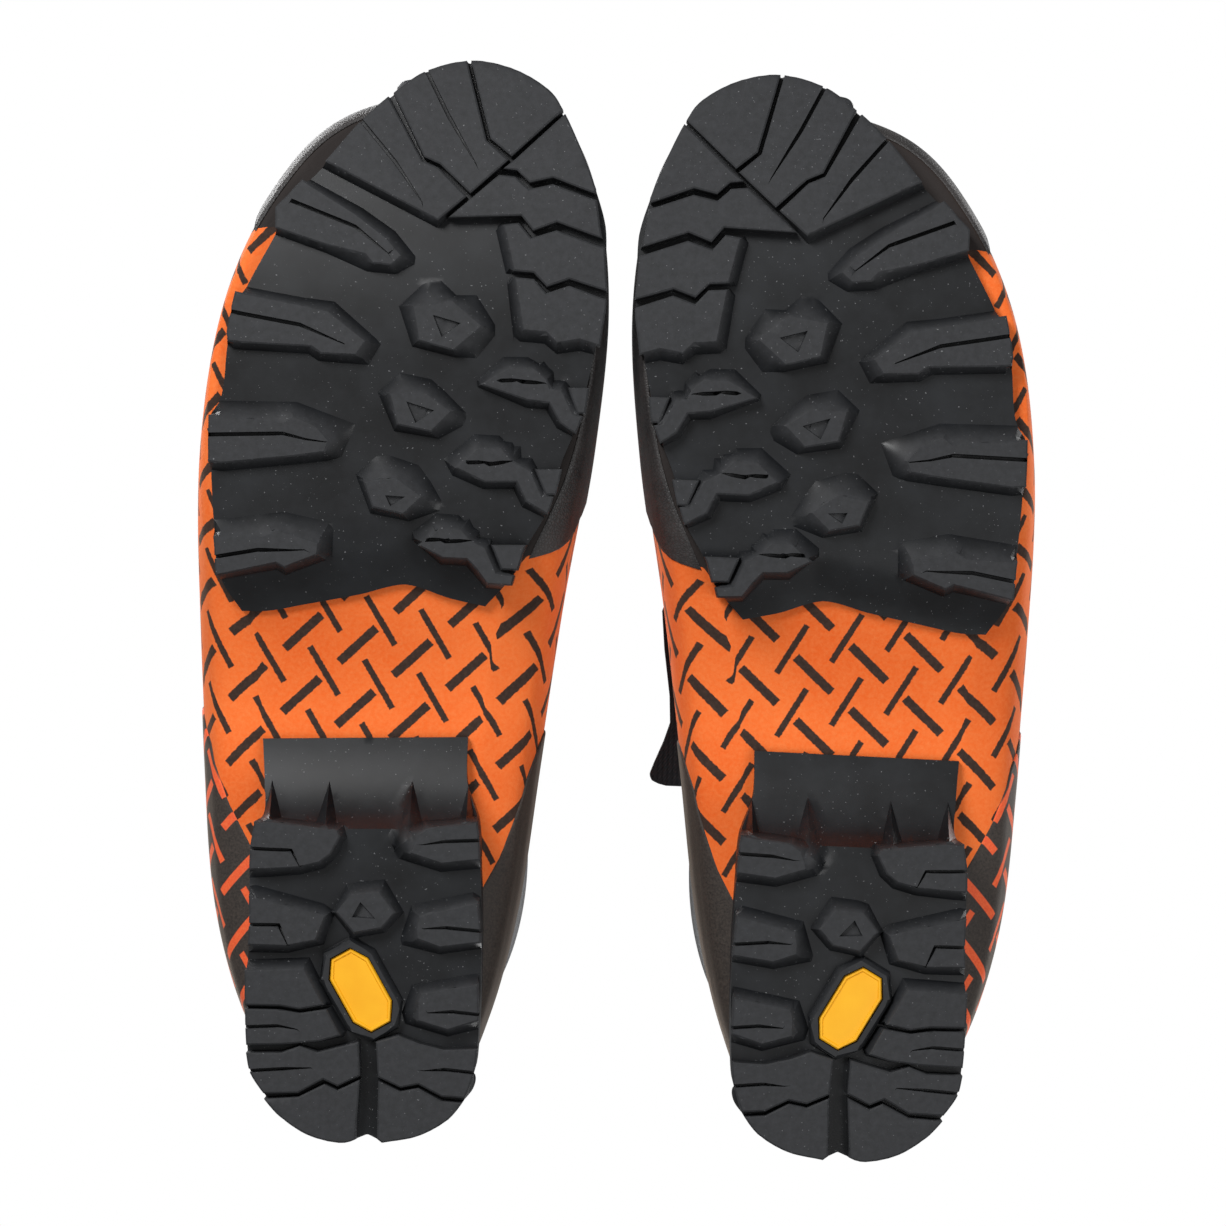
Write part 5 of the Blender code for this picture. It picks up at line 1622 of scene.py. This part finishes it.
def flaps(boot):
    # two lobes with a waist between, hinged along the inner edge; ribs run across it
    turn = np.radians(np.linspace(200, 340, 141))
    hinge = skin(turn, flap["height"], -flap["standOff"])[::-1]
    edge = np.array(flap["edge"], float)
    f = np.linspace(99.0, 157.3, 118)
    outerM = np.interp(f, edge[2:-2, 1][::-1], edge[2:-2, 0][::-1])
    outerM = outerM - 3.2 * (1 - rounding(np.minimum(f - f[0], f[-1] - f), 3.4))
    innerM = np.interp(f, hinge[:, 1], hinge[:, 0])
    share = spaced(1.0, 1 / 24, 0.05)
    m = innerM[:, None] + (outerM - innerM)[:, None] * share[None]
    away = np.minimum((outerM[:, None] - m), np.minimum(f - f[0], f[-1] - f)[:, None] + 0.2)
    ribs = 0.12 * np.sin(f[:, None] * math.tau / 1.9) * (f[:, None] < 118) * rounding(away - 1.5, 1.5)
    thick = flap["wall"] / 2 * (0.35 + 0.65 * rounding(np.maximum(away, 0), 0.8)) + ribs - 0.12
    sheet = np.stack([m, np.broadcast_to(f[:, None], m.shape), np.full(m.shape, flap["height"])], axis=2)
    top, bottom = sheet + [0, 0, 1] * thick[..., None], sheet - [0, 0, 1] * thick[..., None]
    # tipped about the line from the hinge's rear end to its front end
    ends = [np.array([np.interp(at, hinge[:, 1], hinge[:, 0]), at, flap["height"]]) for at in (99.0, 157.5)]
    axis = (ends[1] - ends[0]) / np.linalg.norm(ends[1] - ends[0])
    angle = math.radians(-flap["tilt"][boot["name"]])

    def tipped(points):
        flat = points.reshape(-1, 3) - ends[0]
        along = (flat @ axis)[:, None] * axis
        turned = along + (flat - along) * math.cos(angle) + np.cross(axis, flat) * math.sin(angle)
        return (turned + ends[0]).reshape(points.shape)

    plane = np.stack([m, np.broadcast_to(f[:, None], m.shape), np.zeros(m.shape)], axis=2)
    made = shellOf(boot, "sideFlap", tipped(top), tipped(bottom), False, finishes["webbing"], plane, 45)
    settle(made, namedFor(boot, "strap_tab"), "strap_webbing", namedFor(boot, "strap_tab"))


# ---- zip ----
def frontAt(z):
    m, f = outline(np.full_like(np.asarray(z, float), math.pi), np.asarray(z, float))
    return np.stack([m, f, z], axis=-1)


def boxesAt(centres, half, bevel=0.18):
    # many small chamfered blocks in one mesh: points and faces
    signs = np.array([(x, y, z) for x in (-1, 1) for y in (-1, 1) for z in (-1, 1)], float)
    corners = []
    for k in range(3):
        shrink = np.ones(3) - bevel
        shrink[k] = 1.0
        corners.append(signs * shrink)
    shape = np.concatenate(corners) * half
    work = bmesh.new()
    for point in shape:
        work.verts.new(point)
    bmesh.ops.convex_hull(work, input=work.verts)
    work.verts.index_update()
    faces = np.array([[v.index for v in f.verts] for f in work.faces if len(f.verts) == 3])
    work.free()
    points = (centres[:, None] + shape[None]).reshape(-1, 3)
    allFaces = (faces[None] + np.arange(len(centres))[:, None, None] * len(shape)).reshape(-1, 3)
    return points, allFaces


zipping = {
    "low": 140.0, "top": 236.0, "tapeAt": 4.1, "tapeNear": 0.9, "tapeWidth": 7.8, "tapeWall": 0.9,
    "pitch": 1.6, "lastTooth": 219, "toothAt": 0.75, "toothNear": 1.28, "toothHalf": (1.15, 0.42, 0.34),
}


def zips(boot):
    z = np.linspace(zipping["low"], zipping["top"], 97)
    for name, side in (("lateral", -1), ("medial", 1)):
        centre = frontAt(z) + (side * zipping["tapeAt"], zipping["tapeNear"], 0)
        ahead = np.gradient(centre, axis=0)
        ahead = unit(ahead)
        across = np.tile([1.0, 0, 0], (len(z), 1))
        made = webbingStrip(
            boot, f"zipTape_{name}", centre, across, np.cross(across, ahead), zipping["tapeWidth"],
            zipping["tapeWall"], finishes["tape"],
        )
        settle(made, boot["cuff"], "strap_webbing", namedFor(boot, "zip_tape_" + name))
        places = np.arange(
            zipping["low"] + 1, zipping["lastTooth"], zipping["pitch"],
        ) + side * zipping["pitch"] / 4
        teeth = frontAt(places) + (side * zipping["toothAt"], zipping["toothNear"], 0)
        points, faces = boxesAt(teeth, np.array(zipping["toothHalf"]))
        made = madeMesh(boot, f"zipTeeth_{name}", points, faces, finishes["plastic"], sharp=30)
        settle(made, boot["cuff"], "welt_plastic")


# name, half width, lower and upper end, corner radius, near and far face in front of the zip,
# finish, slot, and the end of its body's name
zipHardware = [
    ("zipSlider", 4.4, 220.2, 231.8, 2.0, 1.9, 3.7, "metal", "slider_metal", "zip_slider"),
    ("zipBridge", 1.1, 221.5, 230.5, 1.0, 3.8, 5.0, "metal", "slider_metal", "zip_slider"),
    ("zipPuller", 2.4, 203.2, 224.8, 1.6, 5.2, 6.8, "cord", "lace_cord", "zip_puller"),
]


def slabAround(boot, name, outlinePoints, nearAt, farAt, finish, body, slot, nodes, bevel=0.6):
    # a plate from a plan in (m, z) standing in front of the zip, its rim rounded by rings
    plan = np.array(outlinePoints, float)
    rings = []
    for depth, inward in ((0.0, bevel), (0.25, 0.15), (0.6, 0.0), (1.0, 0.0)):
        rings.append((nearAt + depth * bevel, inward))
    far = [(farAt - (y - nearAt), inward) for y, inward in rings][::-1]
    stack = []
    for y, inward in rings + far:
        p = drawnIn(plan, inward)
        stack.append(frontAt(p[:, 1]) + np.column_stack([p[:, 0], np.full(len(p), y), np.zeros(len(p))]))
    stack = np.array(stack)
    count = len(plan)
    faces = list(quadsOf(len(stack), count, wrapColumns=True))
    faces += caps(len(stack), count)
    made = madeMesh(boot, name, stack.reshape(-1, 3), faces, finish, sharp=40)
    return settle(made, body, slot, *nodes)


def roundedPlan(half, low_, high, corner, count=7):
    bend = np.linspace(0, math.pi / 2, count)
    points = []
    for cx, cz, start in (
        (half - corner, high - corner, 0), (corner - half, high - corner, 1),
        (corner - half, low_ + corner, 2), (half - corner, low_ + corner, 3),
    ):
        a = bend + start * math.pi / 2
        points.append(np.column_stack([cx + corner * np.cos(a), cz + corner * np.sin(a)]))
    return np.concatenate(points)


def sliders(boot):
    for name, half, bottom, top, corner, near, far, finish, slot, end in zipHardware:
        body = f"{boot['name']}_{end}"
        stands = [] if name == "zipBridge" else [body]
        plan = roundedPlan(half, bottom, top, corner)
        slabAround(boot, name, plan, near, far, finishes[finish], body, slot, stands)


# ---- lacing ----
lacing = {
    "low": 138, "high": 226, "turns": 4.25, "swing": math.radians(14), "inset": 4.2, "radius": 1.08,
    "strand": 0.1,
    "railLow": 132, "railHigh": 222, "railTurn": math.radians(23.5), "railInset": 6.3, "railWidth": 4.2,
    "railWall": 0.9,
}


def laces(boot):
    # side to side over the tongue: a rounded zigzag while z climbs
    t = np.linspace(0, 1, 420)
    swing = np.arcsin(0.97 * np.cos(math.tau * lacing["turns"] * t)) / (math.pi / 2)
    height = lacing["low"] + (lacing["high"] - lacing["low"]) * t
    route = skin(math.pi + lacing["swing"] * swing, lambda f: height, lacing["inset"])
    ahead = np.gradient(route, axis=0)
    ahead = unit(ahead)
    side = np.cross(ahead, [0.0, 1, 0.2])
    side = unit(side)
    up = np.cross(side, ahead)
    length = lengthsAlong(route)
    turn = np.arange(12) * math.tau / 12
    braid = np.sin(3 * turn[None] + length[:, None] * 2.2) * np.sin(3 * turn[None] - length[:, None] * 2.2)
    radius = lacing["radius"] + lacing["strand"] * braid
    points = route[:, None] + radius[..., None] * (
        np.cos(turn)[None, :, None] * side[:, None] + np.sin(turn)[None, :, None] * up[:, None]
    )
    count = len(route)
    faces = list(quadsOf(count, 12, wrapColumns=True)) + caps(count, 12)
    plane = np.stack(np.broadcast_arrays(length[:, None], turn[None] * 1.1, 0.0), axis=2).reshape(-1, 3)
    made = madeMesh(boot, "innerLace", points.reshape(-1, 3), faces, finishes["cord"], {"plane": plane}, 60)
    settle(made, boot["cuff"], "lace_cord", namedFor(boot, "lace"))
    line = worldPoints(boot, route)
    print(f"{boot['name']} lace: {length[-1]:.0f} mm")
    for name, side_ in (("lateral", -1), ("medial", 1)):
        z = np.linspace(lacing["railLow"], lacing["railHigh"], 120)
        turn = np.array([math.pi + side_ * lacing["railTurn"]])
        centre = np.array([skin(turn, float(h), lacing["railInset"])[0] for h in z])
        ahead = np.gradient(centre, axis=0)
        ahead = unit(ahead)
        other = np.array([skin(turn + 0.02, float(h), lacing["railInset"])[0] for h in z])
        across = other - centre
        across -= ahead * (across * ahead).sum(axis=1)[:, None]
        across = unit(across)
        made = webbingStrip(
            boot, f"laceRail_{name}", centre, across, np.cross(across, ahead), lacing["railWidth"],
            lacing["railWall"], finishes["webbing"], False,
        )
        settle(made, boot["cuff"], "strap_webbing", namedFor(boot, "lace_rail_" + name))
    slabAround(
        boot, "laceLock", roundedPlan(5.8, 227.9, 235.3, 2.6), -5.5, -2.9, finishes["plastic"],
        boot["cuff"], "welt_plastic",
        [namedFor(boot, "lace_lock")],
    )


# ---- hidden boards keep their solids, with finishes in their slots ----
def dress(nodeName, finish):
    thing = frame["nodes"][nodeName]
    for k in range(len(thing.data.materials)):
        thing.data.materials[k] = finish


for boot in pair:
    outsoles(boot)
    printedShell(boot)
    rands(boot)
    welts(boot)
    print(boot["name"], "lower done")
    uppers(boot)
    innerBoots(boot)
    print(boot["name"], "uppers done")
    straps(boot)
    flaps(boot)
    pullLoops(boot)
    zips(boot)
    sliders(boot)
    laces(boot)
    for board, finish in (("midsole", "foam"), ("footbed", "liner"), ("shank_board", "carbon")):
        dress(f"{boot['name']}_{board}", finishes[finish])
    print(boot["name"], "fittings done")

# ---- camera under the soles, see-through floor, soft light ----
view = {"distance": 1.2, "wide": 0.34121904, "middle": (0.0, -0.0044)}  # metres; wide is what it sees across
camera = bpy.data.objects.new("camera", bpy.data.cameras.new("camera"))
camera.data.sensor_width = 36.0
camera.data.lens = 36.0 * view["distance"] / view["wide"]
camera.location = (*view["middle"], -view["distance"])
camera.rotation_euler = (math.pi, 0, 0)
bpy.context.scene.collection.objects.link(camera)
bpy.context.scene.camera = camera

floorMesh = bpy.data.meshes.new("studioFloor")
corners = [(-6, -6), (6, -6), (6, 6), (-6, 6)]
floorMesh.from_pydata([(x, y, -0.0004) for x, y in corners], [], [(0, 1, 2, 3)])
floor = bpy.data.objects.new("studioFloor", floorMesh)
bpy.context.scene.collection.objects.link(floor)
paper, tree, shader = newMaterial("palePaper", Roughness=0.9)
shader.inputs["Base Color"].default_value = linear("F2F2F0")
seen = value(
    tree, "MULTIPLY", node(tree, "LightPath").outputs["Is Camera Ray"],
    value(tree, "SUBTRACT", 1.0, node(tree, "NewGeometry").outputs["Backfacing"]),
)
clear = node(tree, "BsdfTransparent").outputs[0]
mixed = node(tree, "MixShader", {}, {0: seen, 1: clear, 2: shader.outputs[0]})
tree.links.new(mixed.outputs[0], tree.nodes["Material Output"].inputs[0])
floorMesh.materials.append(paper)

world = bpy.data.worlds.new("softWhite")
bpy.context.scene.world = world
world.use_nodes = True
tree = world.node_tree
background = tree.nodes["Background"]
strength = timesPlus(tree, node(tree, "LightPath").outputs["Is Camera Ray"], 0.76, 0.24)
tree.links.new(strength, background.inputs["Strength"])
background.inputs["Color"].default_value = (1, 1, 1, 1)
bpy.context.scene.view_settings.view_transform = "Standard"

lamps = [  # name, place, size, watts
    ("keyBelow", (-0.7, -0.9, -1.1), 0.7, 22),
    ("fillBelow", (0.9, 0.5, -1.2), 1.2, 10),
    ("keyAbove", (-1.2, -1.4, 1.8), 1.2, 45),
    ("fillAbove", (1.6, -0.6, 1.4), 1.4, 25),
    ("rimAbove", (0.4, 1.8, 1.6), 1.2, 30),
]
for name, place, size, watts in lamps:
    lamp = bpy.data.lights.new(name, "AREA")
    lamp.shape = "DISK"
    lamp.size = size
    lamp.energy = watts
    hung = bpy.data.objects.new(name, lamp)
    hung.location = place
    hung.rotation_mode = "QUATERNION"
    hung.rotation_quaternion = (Vector((0, 0, 0.08)) - Vector(place)).to_track_quat("-Z", "Y")
    bpy.context.scene.collection.objects.link(hung)
